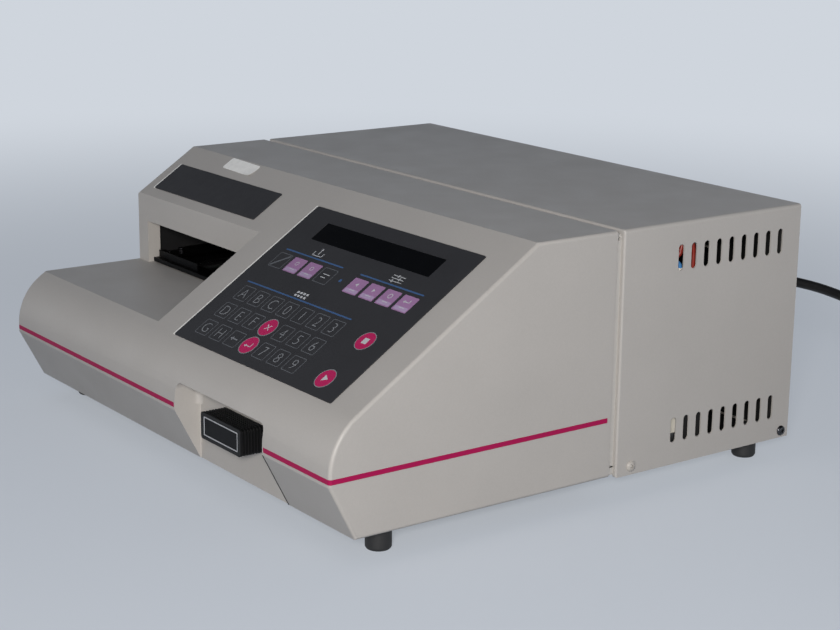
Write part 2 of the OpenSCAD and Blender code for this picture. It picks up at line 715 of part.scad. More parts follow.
// Frame on the pan that carries the reading head above the plate and the detectors below it.
module optics_frame() from_front() color([0.7, 0.7, 0.72]) difference() {
    union() {
        block([post_left, optics_y[0], floor_front], [post_right + 6, optics_y[1], floor_front + 3]);
        block([post_left, optics_y[0], floor_front], [post_left + 5, optics_y[1], light_z + 8]);
        block([post_right, optics_y[0], floor_front], [post_right + 6, optics_y[1], light_z + 8]);
        block([carrier_x - 54, read_y - 6, floor_front], [carrier_x + 54, read_y + 6, rod_z - 2]);
    }
    x_bar(post_right - past, post_right + 6 + past, read_y, light_z, lens_bore_r);
}

module optics_head() from_front() color([0.14, 0.14, 0.15]) difference() {
    block([post_left + 5, read_y - 10, light_z - 8], [post_right, read_y + 10, light_z + 8]);
    x_bar(carrier_x - 58, post_right + past, read_y, light_z, 4);
    for (i = [0 : channel_count - 1])
        z_bar(0, light_z, carrier_x + (i - (channel_count - 1) / 2) * well_pitch, read_y, lens_r);
}

module head_lenses() from_front() color([0.8, 0.88, 0.92])
for (i = [0 : channel_count - 1])
    z_bar(light_z - 7.5, light_z - 5.5, carrier_x + (i - (channel_count - 1) / 2) * well_pitch, read_y,
          lens_r);

module detector_board() from_front() color([0.12, 0.3, 0.2]) {
    block([carrier_x - 57, read_y - 9, rod_z - 2], [carrier_x + 57, read_y + 9, rod_z - 0.4]);
    for (i = [0 : channel_count - 1])
        z_bar(rod_z - 0.4, rod_z + 5, carrier_x + (i - (channel_count - 1) / 2) * well_pitch, read_y, 4);
}

module light_tube() from_front() color([0.14, 0.14, 0.15]) difference() {
    x_bar(post_right + 6, wheel_x - 2, read_y, light_z, 8);
    x_bar(post_right, wheel_x, read_y, light_z, lens_bore_r);
}

module filter_wheel() from_front() color([0.2, 0.2, 0.22]) difference() {
    union() {
        x_bar(wheel_x, wheel_x + 5, read_y, wheel_z, wheel_r);
        x_bar(wheel_x, wheel_x + 9, read_y, wheel_z, 8);
    }
    x_bar(wheel_x - past, wheel_x + 10, read_y, wheel_z, 2.5);
    at_filters() x_bar(wheel_x - past, wheel_x + 10, 0, 0, 6.5);
}

// Repeats its child at each filter place round the wheel's axis.
module at_filters() translate([0, read_y, wheel_z]) for (i = [0 : filter_count - 1])
    rotate([i * 360 / filter_count, 0, 0]) translate([0, 0, wheel_pcd / 2]) children();

module filters() from_front() color([0.55, 0.35, 0.6])
    at_filters() x_bar(wheel_x + 1, wheel_x + 4, 0, 0, 6.5);

module wheel_shaft() from_front() color([0.8, 0.8, 0.82])
    x_bar(wheel_x - 1, wheel_x + 24, read_y, wheel_z, 2.5);

module filter_motor() from_front() color([0.16, 0.16, 0.17]) difference() {
    front = wheel_x + 11;
    half = motor_size / 2;
    block([front, read_y - half, wheel_z - half], [front + 30, read_y + half, wheel_z + half]);
    x_bar(front - past, front + 14, read_y, wheel_z, 2.5 + fit);
}

module optics_bench() from_front() color([0.7, 0.7, 0.72]) {
    y0 = read_y - 22;
    y1 = read_y + 22;
    block([bench_x[0], y0, bench_z], [bench_x[1], y1, bench_z + 3]);
    for (x = [bench_x[0], bench_x[1] - 3]) block([x, y0, floor_front], [x + 3, y0 + 12, bench_z]);
    block([wheel_x + 13, read_y - 16, bench_z + 3],
          [wheel_x + 39, read_y + 16, wheel_z - motor_size / 2]);
}

module lamp_housing() from_front() color([0.62, 0.63, 0.65]) difference() {
    union() {
        block([lamp_x[0], read_y - 20, bench_z + 3], [lamp_x[1], read_y + 20, light_z + 28]);
        x_bar(lamp_x[0] - 8, lamp_x[0] + 1, read_y, light_z, 11);
    }
    block([lamp_x[0] + 3, read_y - 17, bench_z + 6], [lamp_x[1] - 3, read_y + 17, light_z + 25]);
    x_bar(lamp_x[0] - 9, lamp_x[0] + 10, read_y, light_z, 8);
    for (y = [read_y - 12 : 6 : read_y + 12])
        block([lamp_x[0] + 6, y - 1.5, light_z + 20], [lamp_x[1] - 6, y + 1.5, light_z + 30]);
}

module halogen_lamp() from_front() color([0.9, 0.92, 0.95]) {
    z_bar(bench_z + 6, light_z - 14, 72, read_y, 7);
    z_bar(light_z - 14, light_z + 4, 72, read_y, 5);
    translate([72, read_y, light_z + 4]) sphere(5);
}

// ---------------------------------------------------------------- power

module power_transformer() from_front() color([0.66, 0.67, 0.66]) {
    mid_y = (trafo_y[0] + trafo_y[1]) / 2;
    block([trafo_x[0], trafo_y[0], floor_rear], [trafo_x[1], trafo_y[1], floor_rear + 3]);
    block([trafo_x[0] + 4, mid_y - 18, floor_rear + 3], [trafo_x[1] - 4, mid_y + 18, trafo_top]);
    block([trafo_x[1] - 4, mid_y - 6, floor_rear + 3], [trafo_x[1] - 1.5, mid_y + 2, floor_rear + 29]);
    front_prism(trafo_y[0] + 1, trafo_y[1] - 1) translate([(trafo_x[0] + trafo_x[1]) / 2, floor_rear + 33])
        rounded_rect(38, 34, 6);
}

module power_board() from_front() color([0.1, 0.34, 0.2]) {
    block([56, 228, floor_rear + 5], [130, 340, floor_rear + 6.6]);
    for (x = [60, 126], y = [232, 336]) z_bar(floor_rear, floor_rear + 5, x, y, 3);
    for (y = [246, 274]) z_bar(floor_rear + 6.6, floor_rear + 40, 112, y, 11);
    block([66, 240, floor_rear + 6.6], [92, 262, floor_rear + 24]);
}

module heat_sink() from_front() color([0.75, 0.76, 0.78]) {
    block([62, 286, floor_rear + 6.6], [66, 336, floor_rear + 44]);
    for (z = [floor_rear + 8 : 6 : floor_rear + 42]) block([66, 286, z], [84, 336, z + 2]);
}

module red_lead() from_front() color([0.75, 0.12, 0.08]) swept_tube(red_route, lead_d, 8);

module blue_lead() from_front() color([0.12, 0.25, 0.65]) swept_tube(blue_route, lead_d, 8);

// Appliance inlet with its socket cavity and three blades, and a bay for the fuse drawer above.
module power_inlet() from_front() color([0.09, 0.09, 0.1]) {
    difference() {
        union() {
            front_prism(panel_y + panel_t, panel_y + panel_t + 2)
                translate([inlet_x, inlet_z + 8.5]) rounded_rect(32, 52, 3);
            front_prism(panel_y - 22, panel_y + panel_t)
                translate([inlet_x, inlet_z + 8.5]) rounded_rect(27.6, 45.6, 2);
        }
        front_prism(panel_y - 17, panel_y + panel_t + 3) translate([inlet_x, inlet_z]) c13_shape(0);
        block([inlet_x - 11, panel_y - 14, inlet_z + 14], [inlet_x + 11, body_d, inlet_z + 27]);
    }
    for (pin = [[-7, 2], [7, 2], [0, -2]])
        block([inlet_x + pin[0] - 1, panel_y - 17, inlet_z + pin[1] - 2],
              [inlet_x + pin[0] + 1, panel_y - 1, inlet_z + pin[1] + 2]);
}

// Outline of the appliance connector: a rectangle with two cut corners at the bottom.
module c13_shape(inset) {
    w = 12.2 - inset;
    h = 8 - inset;
    polygon([[-w, h], [w, h], [w, 2 - h], [w - 6, -h], [6 - w, -h], [-w, 2 - h]]);
}

module fuse_drawer() from_front() color([0.12, 0.12, 0.13]) {
    block([inlet_x - 10.7, panel_y - 13.5, inlet_z + 14.3],
          [inlet_x + 10.7, panel_y + panel_t + 2.4, inlet_z + 26.7]);
    block([inlet_x - 6, panel_y + panel_t + 2, inlet_z + 23],
          [inlet_x + 6, panel_y + panel_t + 4, inlet_z + 25.5]);
}

module switch_body() from_front() color([0.09, 0.09, 0.1]) difference() {
    union() {
        front_prism(panel_y + panel_t, panel_y + panel_t + 1.6)
            translate([rocker_x, rocker_z]) rounded_rect(24, 31, 1.5);
        block([rocker_x - 9.9, panel_y - 18, rocker_z - 13.4],
              [rocker_x + 9.9, panel_y + panel_t, rocker_z + 13.4]);
    }
    block([rocker_x - 8, panel_y - 12, rocker_z - 11.8], [rocker_x + 8, body_d, rocker_z + 11.8]);
    x_bar(rocker_x - 9, rocker_x + 9, panel_y + panel_t - 3, rocker_z, 1.2 + fit);
}

// Rocker with two flat paddles that meet at a shallow angle over its pivot.
module power_rocker() from_front() color([0.15, 0.15, 0.16]) {
    pivot_y = panel_y + panel_t - 3;
    x_bar(rocker_x - 8.8, rocker_x + 8.8, pivot_y, rocker_z, 1.2);
    side_prism(rocker_x - 7.6, rocker_x + 7.6) polygon([
        [pivot_y - 3, rocker_z - 4], [pivot_y + 5, rocker_z - 9.6], [pivot_y + 7, rocker_z - 9.6],
        [pivot_y + 4, rocker_z], [pivot_y + 2.6, rocker_z + 9.6], [pivot_y, rocker_z + 9.6],
        [pivot_y - 3, rocker_z + 4]]);
}

// Two data connectors with slanted metal shells and jack screws.
module data_ports() from_front() for (x = port_x) color([0.72, 0.73, 0.74]) {
    front_prism(panel_y + panel_t, panel_y + panel_t + 1)
        translate([x, port_z]) rounded_rect(53, 12.5, 2);
    front_prism(panel_y + panel_t + 1, panel_y + panel_t + 6) translate([x, port_z])
        polygon([[-19, 4.2], [19, 4.2], [17.4, -4.2], [-17.4, -4.2]]);
    front_prism(panel_y - 8, panel_y + panel_t) translate([x, port_z]) rounded_rect(41, 10, 2.5);
    for (side = [-1, 1]) y_bar(panel_y + panel_t + 1, panel_y + panel_t + 5, x + side * 23.5, port_z, 2.4);
}

// ---------------------------------------------------------------- mains cord

module cord_connector() from_front() color([0.08, 0.08, 0.09]) difference() {
    front = panel_y + panel_t + 2;
    union() {
        front_prism(panel_y - 15, front + past) translate([inlet_x, inlet_z]) c13_shape(0.5);
        front_prism(front, front + 22) translate([inlet_x, inlet_z]) rounded_rect(27, 19, 4);
        translate([inlet_x, front + 22, inlet_z]) rotate([-90, 0, 0])
            cylinder(h = cord_route[0][1] - front - 22, r1 = 7.5, r2 = cord_d / 2 + 1);
    }
    for (pin = [[-7, 2], [7, 2], [0, -2]])
        block([inlet_x + pin[0] - 1.5, panel_y - 18, inlet_z + pin[1] - 2.5],
              [inlet_x + pin[0] + 1.5, panel_y, inlet_z + pin[1] + 2.5]);
}

module power_cord() from_front() color([0.07, 0.07, 0.08]) {
    swept_tube(cord_route, cord_d, cord_sides);
    swept_tube(tail_route, cord_d, cord_sides);
}

module cord_coil() from_front() color([0.07, 0.07, 0.08]) translate([coil_x, coil_y, 0])
    rotate_extrude($fn = 48) translate([coil_r - coil_w / 2, 0]) square([coil_w, coil_h]);

// Moulded mains plug lying beside the coil.
module mains_plug() from_front() color([0.08, 0.08, 0.09])
translate([plug_at[0], plug_at[1], 0]) {
    translate([0, 0, plug_at[2]]) rotate([0, -90, 0]) cylinder(h = 16, r1 = 4.5, r2 = 8);
    block([-44, -13, 0], [-15, 13, 18]);
    for (side = [-1, 1]) block([-62, side * 6.3 - 0.8, 7], [-43, side * 6.3 + 0.8, 13]);
    x_bar(-64, -43, 0, 4.2, 2.4);
}

front_housing();
lower_housing();
accent_stripe();
bulkhead_frame();
rear_cover();
rear_panel();
chassis_pan();
rubber_feet();
foot_screws();
cover_screws();
keypad_overlay();
display_window();
name_plate();
display_module();
main_board();
board_chips();
board_standoffs();
program_cartridge();
cartridge_label_frame();
cartridge_guide();
cartridge_socket();
plate_carrier();
carrier_runners();
clip_pin();
plate_clip();
transport_plates();
dark_chamber();
guide_rods();
screw_bearings();
lead_screw();
transport_motor();
home_sensor();
optics_frame();
optics_head();
head_lenses();
detector_board();
light_tube();
filter_wheel();
filters();
wheel_shaft();
filter_motor();
optics_bench();
lamp_housing();
halogen_lamp();
power_transformer();
power_board();
heat_sink();
red_lead();
blue_lead();
power_inlet();
fuse_drawer();
switch_body();
power_rocker();
data_ports();
cord_connector();
power_cord();
cord_coil();
mains_plug();
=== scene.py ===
"""Dresses a benchtop microplate reader: soft moulded housings, printed keypad, fittings and mains cord."""
import json
import math

import bmesh
import bpy
from mathutils import Matrix, Vector


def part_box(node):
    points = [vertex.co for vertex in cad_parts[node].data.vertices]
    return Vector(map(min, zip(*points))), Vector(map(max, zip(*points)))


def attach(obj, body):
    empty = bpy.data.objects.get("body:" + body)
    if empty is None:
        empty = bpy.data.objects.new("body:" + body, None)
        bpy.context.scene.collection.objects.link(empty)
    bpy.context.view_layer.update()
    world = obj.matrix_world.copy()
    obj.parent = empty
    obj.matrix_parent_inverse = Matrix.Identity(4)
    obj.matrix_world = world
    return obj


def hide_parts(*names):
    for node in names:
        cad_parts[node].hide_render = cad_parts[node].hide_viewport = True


bl_info = {
    "name": "Microplate Reader",
    "version": (1, 0, 0),
    "blender": (4, 5, 0),
    "location": "3D View > Sidebar > Reader",
    "description": "Models and finishes a benchtop microplate reader piece by piece",
    "category": "Object",
}

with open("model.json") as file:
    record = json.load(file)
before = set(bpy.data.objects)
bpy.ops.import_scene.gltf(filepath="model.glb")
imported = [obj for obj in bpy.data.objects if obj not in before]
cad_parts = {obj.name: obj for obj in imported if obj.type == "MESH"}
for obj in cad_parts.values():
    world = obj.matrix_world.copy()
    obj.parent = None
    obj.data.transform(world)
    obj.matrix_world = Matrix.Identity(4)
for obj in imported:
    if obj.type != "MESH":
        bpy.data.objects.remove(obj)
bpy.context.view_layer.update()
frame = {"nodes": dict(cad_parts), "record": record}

MM = 0.001
FRONT_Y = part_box("front_housing")[0].y      # plane of the front face
SIDE_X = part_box("rear_cover")[1].x          # outer face of the right side wall

# The console slope: where it meets the deck, and its angle above the horizontal
SLOPE_ANGLE = math.radians(33)
NOSE_R = 40 * MM
NOSE_Z = 56 * MM
DECK_Z = 92 * MM
NOSE_END_Y = NOSE_R * (1 - math.sin(SLOPE_ANGLE))
NOSE_END_Z = NOSE_Z + NOSE_R * math.cos(SLOPE_ANGLE)
SLOPE_FOOT_Y = FRONT_Y + NOSE_END_Y + (DECK_Z - NOSE_END_Z) / math.tan(SLOPE_ANGLE)
SLOPE_FOOT = Vector((0, SLOPE_FOOT_Y, DECK_Z))
ON_SLOPE = Matrix.Translation(SLOPE_FOOT) @ Matrix.Rotation(SLOPE_ANGLE, 4, "X")
BAY_RIGHT = -32 * MM
BAY_BACK_Y = FRONT_Y + 100 * MM
BODY_OF = {node: body for body, nodes in frame["record"]["behaviour"]["bodies"].items()
           for node in nodes}
PRINT_T = 0.05                              # how far the printed inks stand on the films, mm
WELD = 0.002 * MM                           # points of a mesh closer than this are one point
SIDES = (-1, 1)                             # left and right, or lower and upper
QUARTER = math.pi / 2


def from_front(point):
    """A point in millimetres behind the front face, in metres in the frame."""
    return Vector((point[0] * MM, FRONT_Y + point[1] * MM, point[2] * MM))


def at(place, turn=0.0, axis="Z"):
    """Matrix that turns work about one axis and carries it to a place."""
    return Matrix.Translation(place) @ Matrix.Rotation(turn, 4, axis)


def linear(text):
    """sRGB hex, such as #C4BFB9, as a linear RGB triple."""
    parts = [int(text[i:i + 2], 16) / 255 for i in (1, 3, 5)]
    return tuple(c / 12.92 if c <= 0.04045 else ((c + 0.055) / 1.055) ** 2.4 for c in parts)


# ---------------------------------------------------------------- modelling helpers
# Sizes given to these helpers are in millimetres, and places and matrices are in metres

def deselect():
    bpy.ops.object.select_all(action="DESELECT")


def activate(piece):
    """Leaves this piece alone selected and active."""
    deselect()
    piece.select_set(True)
    bpy.context.view_layer.objects.active = piece


class Editing:
    """Edit mode on one piece, with everything selected at the start unless told otherwise."""

    def __init__(self, piece, select="SELECT"):
        self.piece, self.select = piece, select

    def __enter__(self):
        activate(self.piece)
        bpy.ops.object.mode_set(mode="EDIT")
        bpy.ops.mesh.select_all(action=self.select)
        return bmesh.from_edit_mesh(self.piece.data)

    def __exit__(self, *_):
        bpy.ops.object.mode_set(mode="OBJECT")


def select_where(piece, mesh, kind, wanted):
    """Selects the edges or the faces for which wanted(one) is true, in edit mode."""
    bpy.ops.mesh.select_mode(type=kind)
    for one in mesh.edges if kind == "EDGE" else mesh.faces:
        one.select_set(wanted(one))
    mesh.select_flush_mode()
    bmesh.update_edit_mesh(piece.data)


def apply_modifier(piece, kind, **settings):
    """Adds a modifier with these settings and applies it."""
    activate(piece)
    modifier = piece.modifiers.new(kind.title(), kind)
    for key, value in settings.items():
        setattr(modifier, key, value)
    bpy.ops.object.modifier_apply(modifier=modifier.name)


def round_edges(piece, width, segments=2, angle=35):
    """Rounds every edge sharper than the angle by a width in millimetres."""
    apply_modifier(piece, "BEVEL", width=width * MM, segments=segments, limit_method="ANGLE",
                   angle_limit=math.radians(angle), use_clamp_overlap=True)
    return piece


def smooth(piece, angle=35):
    """Smooth shading that breaks at sharp edges and stays flat across the large faces."""
    activate(piece)
    bpy.ops.object.shade_smooth_by_angle(angle=math.radians(angle))
    apply_modifier(piece, "WEIGHTED_NORMAL", keep_sharp=True, weight=100)
    return piece


def soften(piece, width, segments=2, angle=35):
    """Rounds the edges by a width in millimetres and smooths the shading."""
    return smooth(round_edges(piece, width, segments, angle), angle)


def new_piece(name, data):
    """An object in the scene for this mesh or curve."""
    piece = bpy.data.objects.new(name, data)
    bpy.context.scene.collection.objects.link(piece)
    return piece


def merged_copy(name, node):
    """A clean copy of a CAD node: its loose triangles merged, and its flat faces made whole."""
    piece = new_piece(name, frame["nodes"][node].data.copy())
    piece.data.materials.clear()
    if piece.data.has_custom_normals:
        activate(piece)
        bpy.ops.mesh.customdata_custom_splitnormals_clear()
    with Editing(piece):
        bpy.ops.mesh.remove_doubles(threshold=2 * WELD)
        bpy.ops.mesh.dissolve_limited(angle_limit=math.radians(0.5))
    return piece


def named(piece, name):
    piece.name = name
    piece.data.name = name
    return piece


def moved(piece, matrix):
    """Moves the mesh itself, so that the object stays at the origin."""
    piece.data.transform(matrix)
    return piece


def copy_at(piece, matrix):
    """A copy with a mesh of its own, moved by the matrix."""
    return moved(new_piece(piece.name, piece.data.copy()), matrix)


def copies(pattern, matrices):
    """Copies of the pattern at each matrix, after which the pattern itself is removed."""
    made = [copy_at(pattern, matrix) for matrix in matrices]
    bpy.data.objects.remove(pattern)
    return made


def joined(name, parts):
    """Joins parts into one piece."""
    deselect()
    for part in parts:
        part.select_set(True)
    bpy.context.view_layer.objects.active = parts[0]
    if len(parts) > 1:
        bpy.ops.object.join()
    return named(bpy.context.object, name)


def cut(piece, tool):
    """Cuts the tool out of the piece and removes the tool."""
    apply_modifier(piece, "BOOLEAN", operation="DIFFERENCE", object=tool, solver="EXACT")
    bpy.data.objects.remove(tool)


def raise_faces(thickness, line=0):
    """In edit mode, makes a flat face, or only a line along its border, solid upwards."""
    bpy.ops.mesh.select_all(action="SELECT")
    if line:
        bpy.ops.mesh.inset(thickness=line * MM)
        bpy.ops.mesh.delete(type="FACE")
        bpy.ops.mesh.select_all(action="SELECT")
    bpy.ops.mesh.extrude_region_move(TRANSFORM_OT_translate={"value": (0, 0, thickness * MM)})
    bpy.ops.mesh.select_all(action="SELECT")
    bpy.ops.mesh.normals_make_consistent(inside=False)


def rounded_plate(name, width, height, thickness, corner, segments=5, line=0):
    """Plate in the XY plane with round corners, its underside at z = 0, or its outline alone."""
    bpy.ops.mesh.primitive_plane_add(size=1)
    plate = moved(named(bpy.context.object, name), Matrix.Diagonal((width * MM, height * MM, 1, 1)))
    with Editing(plate):
        bpy.ops.mesh.bevel(offset=corner * MM, segments=segments, affect="VERTICES")
        raise_faces(thickness, line)
    return plate


def disc(name, radius, thickness, sides=40, line=0):
    """Round plate in the XY plane, its underside at z = 0, or its rim alone."""
    bpy.ops.mesh.primitive_circle_add(vertices=sides, radius=radius * MM, fill_type="NGON")
    plate = named(bpy.context.object, name)
    with Editing(plate):
        raise_faces(thickness, line)
    return plate


def outline_solid(name, points, thickness):
    """Flat outline in the XY plane, given in order, made solid upwards from z = 0."""
    mesh = bpy.data.meshes.new(name)
    mesh.from_pydata([(x * MM, y * MM, 0) for x, y in points], [], [list(range(len(points)))])
    piece = new_piece(name, mesh)
    with Editing(piece):
        raise_faces(thickness)
    return piece


def box_piece(name, low, high):
    """Box from its lowest corner to its highest, both in metres."""
    bpy.ops.mesh.primitive_cube_add(size=1)
    low, high = Vector(low), Vector(high)
    place = Matrix.Translation((low + high) / 2) @ Matrix.Diagonal((*(high - low), 1))
    return moved(named(bpy.context.object, name), place)


def block(name, low, high):
    """Box between two corners, in millimetres behind the front face."""
    return box_piece(name, from_front(low), from_front(high))


def spun(name, profile, steps=32):
    """Closed solid turned round Z from a profile of (radius, height) points, its ends on the axis."""
    mesh = bpy.data.meshes.new(name)
    edges = [(i, i + 1) for i in range(len(profile) - 1)]
    mesh.from_pydata([(r * MM, 0, z * MM) for r, z in profile], edges, [])
    piece = new_piece(name, mesh)
    with Editing(piece):
        bpy.ops.mesh.spin(steps=steps, angle=math.tau, center=(0, 0, 0), axis=(0, 0, 1))
        bpy.ops.mesh.select_all(action="SELECT")
        bpy.ops.mesh.remove_doubles(threshold=WELD)
        bpy.ops.mesh.normals_make_consistent(inside=False)
    return piece


def curve_through(name, line, radius, rings, steps):
    """Round cord along one smooth spline through these points."""
    curve = bpy.data.curves.new(name, "CURVE")
    curve.dimensions = "3D"
    curve.bevel_depth = radius * MM
    curve.bevel_resolution = rings
    curve.resolution_u = steps
    curve.use_fill_caps = True
    spline = curve.splines.new("BEZIER")
    spline.bezier_points.add(len(line) - 1)
    for point, place in zip(spline.bezier_points, line):
        point.co = place
        point.handle_left_type = point.handle_right_type = "AUTO"
    return new_piece(name, curve)


def bevel_where(piece, wanted, offset, segments=4):
    """Rounds only the edges for which wanted(edge) is true."""
    with Editing(piece, "DESELECT") as mesh:
        select_where(piece, mesh, "EDGE", wanted)
        if not any(edge.select for edge in mesh.edges):
            raise RuntimeError(f"{piece.name} has no such edges to round")
        bpy.ops.mesh.bevel(offset=offset * MM, segments=segments, affect="EDGES", clamp_overlap=True)


def round_by(piece, radius_of, largest, segments):
    """Rounds each edge by the radius that radius_of(edge) gives, and leaves those where it is zero."""
    with Editing(piece, "DESELECT") as mesh:
        weight = mesh.edges.layers.float.new("bevel_weight_edge")
        for edge in mesh.edges:
            edge[weight] = radius_of(edge) / largest
        bmesh.update_edit_mesh(piece.data)
    apply_modifier(piece, "BEVEL", width=largest * MM, segments=segments, limit_method="WEIGHT")
    piece.data.attributes.remove(piece.data.attributes["bevel_weight_edge"])


def screw(name, radius, height, shank):
    """Domed screw with a cross recess, its head standing on the XY plane and its shank below."""
    profile = [(0, -shank), (0.55 * radius, -shank), (0.55 * radius, 0), (radius, 0),
               (radius, 0.25 * height), (0.9 * radius, 0.55 * height), (0.68 * radius, 0.84 * height),
               (0.36 * radius, height), (0, 1.04 * height)]
    head = spun(name, profile)
    r, h = radius * MM, height * MM
    for turn in (0, QUARTER):
        slot = box_piece("slot", (-0.5 * r, -0.09 * r, 0.55 * h), (0.5 * r, 0.09 * r, 2 * h))
        cut(head, moved(slot, Matrix.Rotation(turn, 4, "Z")))
    return head


def glyphs(name, marks, thickness):
    """Letters and figures as one flat piece. marks is a list of (text, x, y, height)."""
    parts = []
    for text, x, y, height in marks:
        bpy.ops.object.text_add()
        glyph = bpy.context.object.data
        glyph.body = text
        glyph.size = height * MM / 0.7      # capitals are 0.7 of the letter size
        glyph.align_x = "CENTER"
        glyph.extrude = thickness * MM / 2
        glyph.offset = -0.032 * height * MM     # thins the strokes
        glyph.resolution_u = 4
        bpy.ops.object.convert(target="MESH")
        parts.append(moved(bpy.context.object, at((x * MM, (y - height / 2) * MM, thickness * MM / 2))))
    piece = joined(name, parts)
    with Editing(piece):
        bpy.ops.mesh.remove_doubles(threshold=WELD)
    return piece


def finish(piece, finish_name, node=None, body="root"):
    """Gives the piece its material and its body. The body comes from the CAD node it stands for, which is
    hidden.
    """
    piece.data.materials.clear()
    piece.data.materials.append(FINISH[finish_name])
    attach(piece, BODY_OF[node] if node else body)
    if node:
        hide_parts(node)
    return piece


def soften_nodes(rows):
    """Merged copies of CAD nodes, each with its edges rounded by a width in millimetres."""
    for name, node, finish_name, width, *more in rows:
        segments, angle = more or (2, 32)
        finish(soften(merged_copy(name, node), width, segments, angle), finish_name, node=node)


# ---------------------------------------------------------------- materials
# Sizes, line spacings and depths given to these functions are in millimetres

def add(tree, kind, inputs=None, **settings):
    """Adds a node, sets its properties, and fills its inputs with links or constants."""
    node = tree.nodes.new(kind)
    for key, value in settings.items():
        setattr(node, key, value)
    for key, value in (inputs or {}).items():
        if isinstance(value, bpy.types.NodeSocket):
            tree.links.new(value, node.inputs[key])
        else:
            node.inputs[key].default_value = value
    return node


def new_material(name):
    """An empty material: returns it, its node tree and the Object coordinates."""
    material = bpy.data.materials.new(name)
    material.use_nodes = True
    tree = material.node_tree
    tree.nodes.clear()
    return material, tree, add(tree, "ShaderNodeTexCoord").outputs["Object"]


def made_of(pattern, name, colour, *settings):
    """A material whose pattern function gives its colour or tone, its relief and its other sockets."""
    material, tree, coords = new_material(name)
    base, (height, depth), sockets = pattern(tree, coords, colour, *settings)
    if base.type == "VALUE":
        tint = add(tree, "ShaderNodeHueSaturation", {"Color": (*colour, 1), "Value": base})
        base = tint.outputs["Color"]
    if height is not None:
        relief = add(tree, "ShaderNodeBump", {"Height": height, "Distance": depth * MM})
        sockets["Normal"] = relief.outputs["Normal"]
    shader = add(tree, "ShaderNodeBsdfPrincipled", {"Base Color": base, **sockets})
    add(tree, "ShaderNodeOutputMaterial", {"Surface": shader.outputs["BSDF"]})
    return material


MOST_NOISE = (0.3, 0.7)                     # where nearly all of a noise pattern's values lie
FLAT = (None, 0)                            # no relief


def clouds(tree, coords, size, detail, low, high, span=MOST_NOISE):
    """A cloudy pattern of this size: its raw height, and the same spread from low to high."""
    noise = add(tree, "ShaderNodeTexNoise", {"Vector": coords, "Scale": 1 / (size * MM), "Detail": detail})
    spread = add(tree, "ShaderNodeMapRange", {"Value": noise.outputs["Fac"], "From Min": span[0],
                                              "From Max": span[1], "To Min": low, "To Max": high})
    return noise.outputs["Fac"], spread.outputs["Result"]


def moulded(tree, coords, _, grain, rough, depth, rubs=0.0, specular=0.5):
    """Moulded or sprayed surface with a fine grain, slightly uneven in tone and gloss."""
    tone = clouds(tree, coords, 60, 3, 0.975, 1.02)[1]
    speck, fleck = clouds(tree, coords, grain, 1, 0.985, 1.015)
    value = add(tree, "ShaderNodeMath", {0: tone, 1: fleck}, operation="MULTIPLY").outputs["Value"]
    along = add(tree, "ShaderNodeMapping", {"Vector": coords, "Scale": (0.12, 1, 0.5)})
    worn = clouds(tree, along.outputs["Vector"], 2.5, 4, 0, rubs, (0.62, 0.78))[1]
    lifted = add(tree, "ShaderNodeMath", {0: value, 1: worn}).outputs["Value"]
    gloss = clouds(tree, coords, 25, 2, rough - 0.04, rough + 0.05)[1]
    return lifted, (speck, depth), {"Roughness": gloss, "IOR": 1.5, "Specular IOR Level": specular}


def printed_film(tree, coords, _, rough=0.42, specular=0.5):
    """Screen-printed polyester film: very fine even texture and a soft sheen."""
    tone = clouds(tree, coords, 30, 3, 0.94, 1.06)[1]
    gloss = clouds(tree, coords, 8, 2, rough - 0.03, rough + 0.05)[1]
    grain = add(tree, "ShaderNodeTexNoise", {"Vector": coords, "Scale": 1 / (0.45 * MM), "Detail": 1})
    return tone, (grain.outputs["Fac"], 0.012), {"Roughness": gloss, "IOR": 1.48,
                                                 "Specular IOR Level": specular}


def metal(tree, coords, _, rough, grain=1.5, drawn=(1, 1, 1)):
    """Bare, plated or anodised metal. drawn squeezes the grain into lines along one axis."""
    tone = clouds(tree, coords, 14, 3, 0.9, 1.06)[1]
    along = add(tree, "ShaderNodeMapping", {"Vector": coords, "Scale": drawn})
    lines, gloss = clouds(tree, along.outputs["Vector"], grain, 2, rough - 0.06, rough + 0.08)
    return tone, (lines, 0.01), {"Roughness": gloss, "Metallic": 1.0}


def plated_spangle(tree, coords, _):
    """Zinc-plated sheet: flat crystals 5 mm across that differ a little in tone and gloss."""
    crystals = add(tree, "ShaderNodeTexVoronoi", {"Vector": coords, "Scale": 1 / (5 * MM)})
    each = add(tree, "ShaderNodeSeparateColor", {"Color": crystals.outputs["Color"]}).outputs
    tone = add(tree, "ShaderNodeMapRange", {"Value": each["Red"], "To Min": 0.88, "To Max": 1.06})
    gloss = add(tree, "ShaderNodeMapRange", {"Value": each["Green"], "To Min": 0.3, "To Max": 0.46})
    ripple = add(tree, "ShaderNodeTexNoise", {"Vector": coords, "Scale": 1 / (1.2 * MM), "Detail": 2})
    return (tone.outputs["Result"], (ripple.outputs["Fac"], 0.01),
            {"Roughness": gloss.outputs["Result"], "Metallic": 1.0})


def rubber(tree, coords, _, rough, grain=0.6):
    """Rubber, soft PVC or nylon webbing: matt, with a faint pale bloom."""
    tone = clouds(tree, coords, 6, 4, 0.8, 1.3)[1]
    gloss = clouds(tree, coords, 6, 4, rough - 0.07, rough + 0.08)[1]
    pores = add(tree, "ShaderNodeTexNoise", {"Vector": coords, "Scale": 1 / (grain * MM), "Detail": 2})
    return tone, (pores.outputs["Fac"], 0.03), {"Roughness": gloss, "IOR": 1.52}


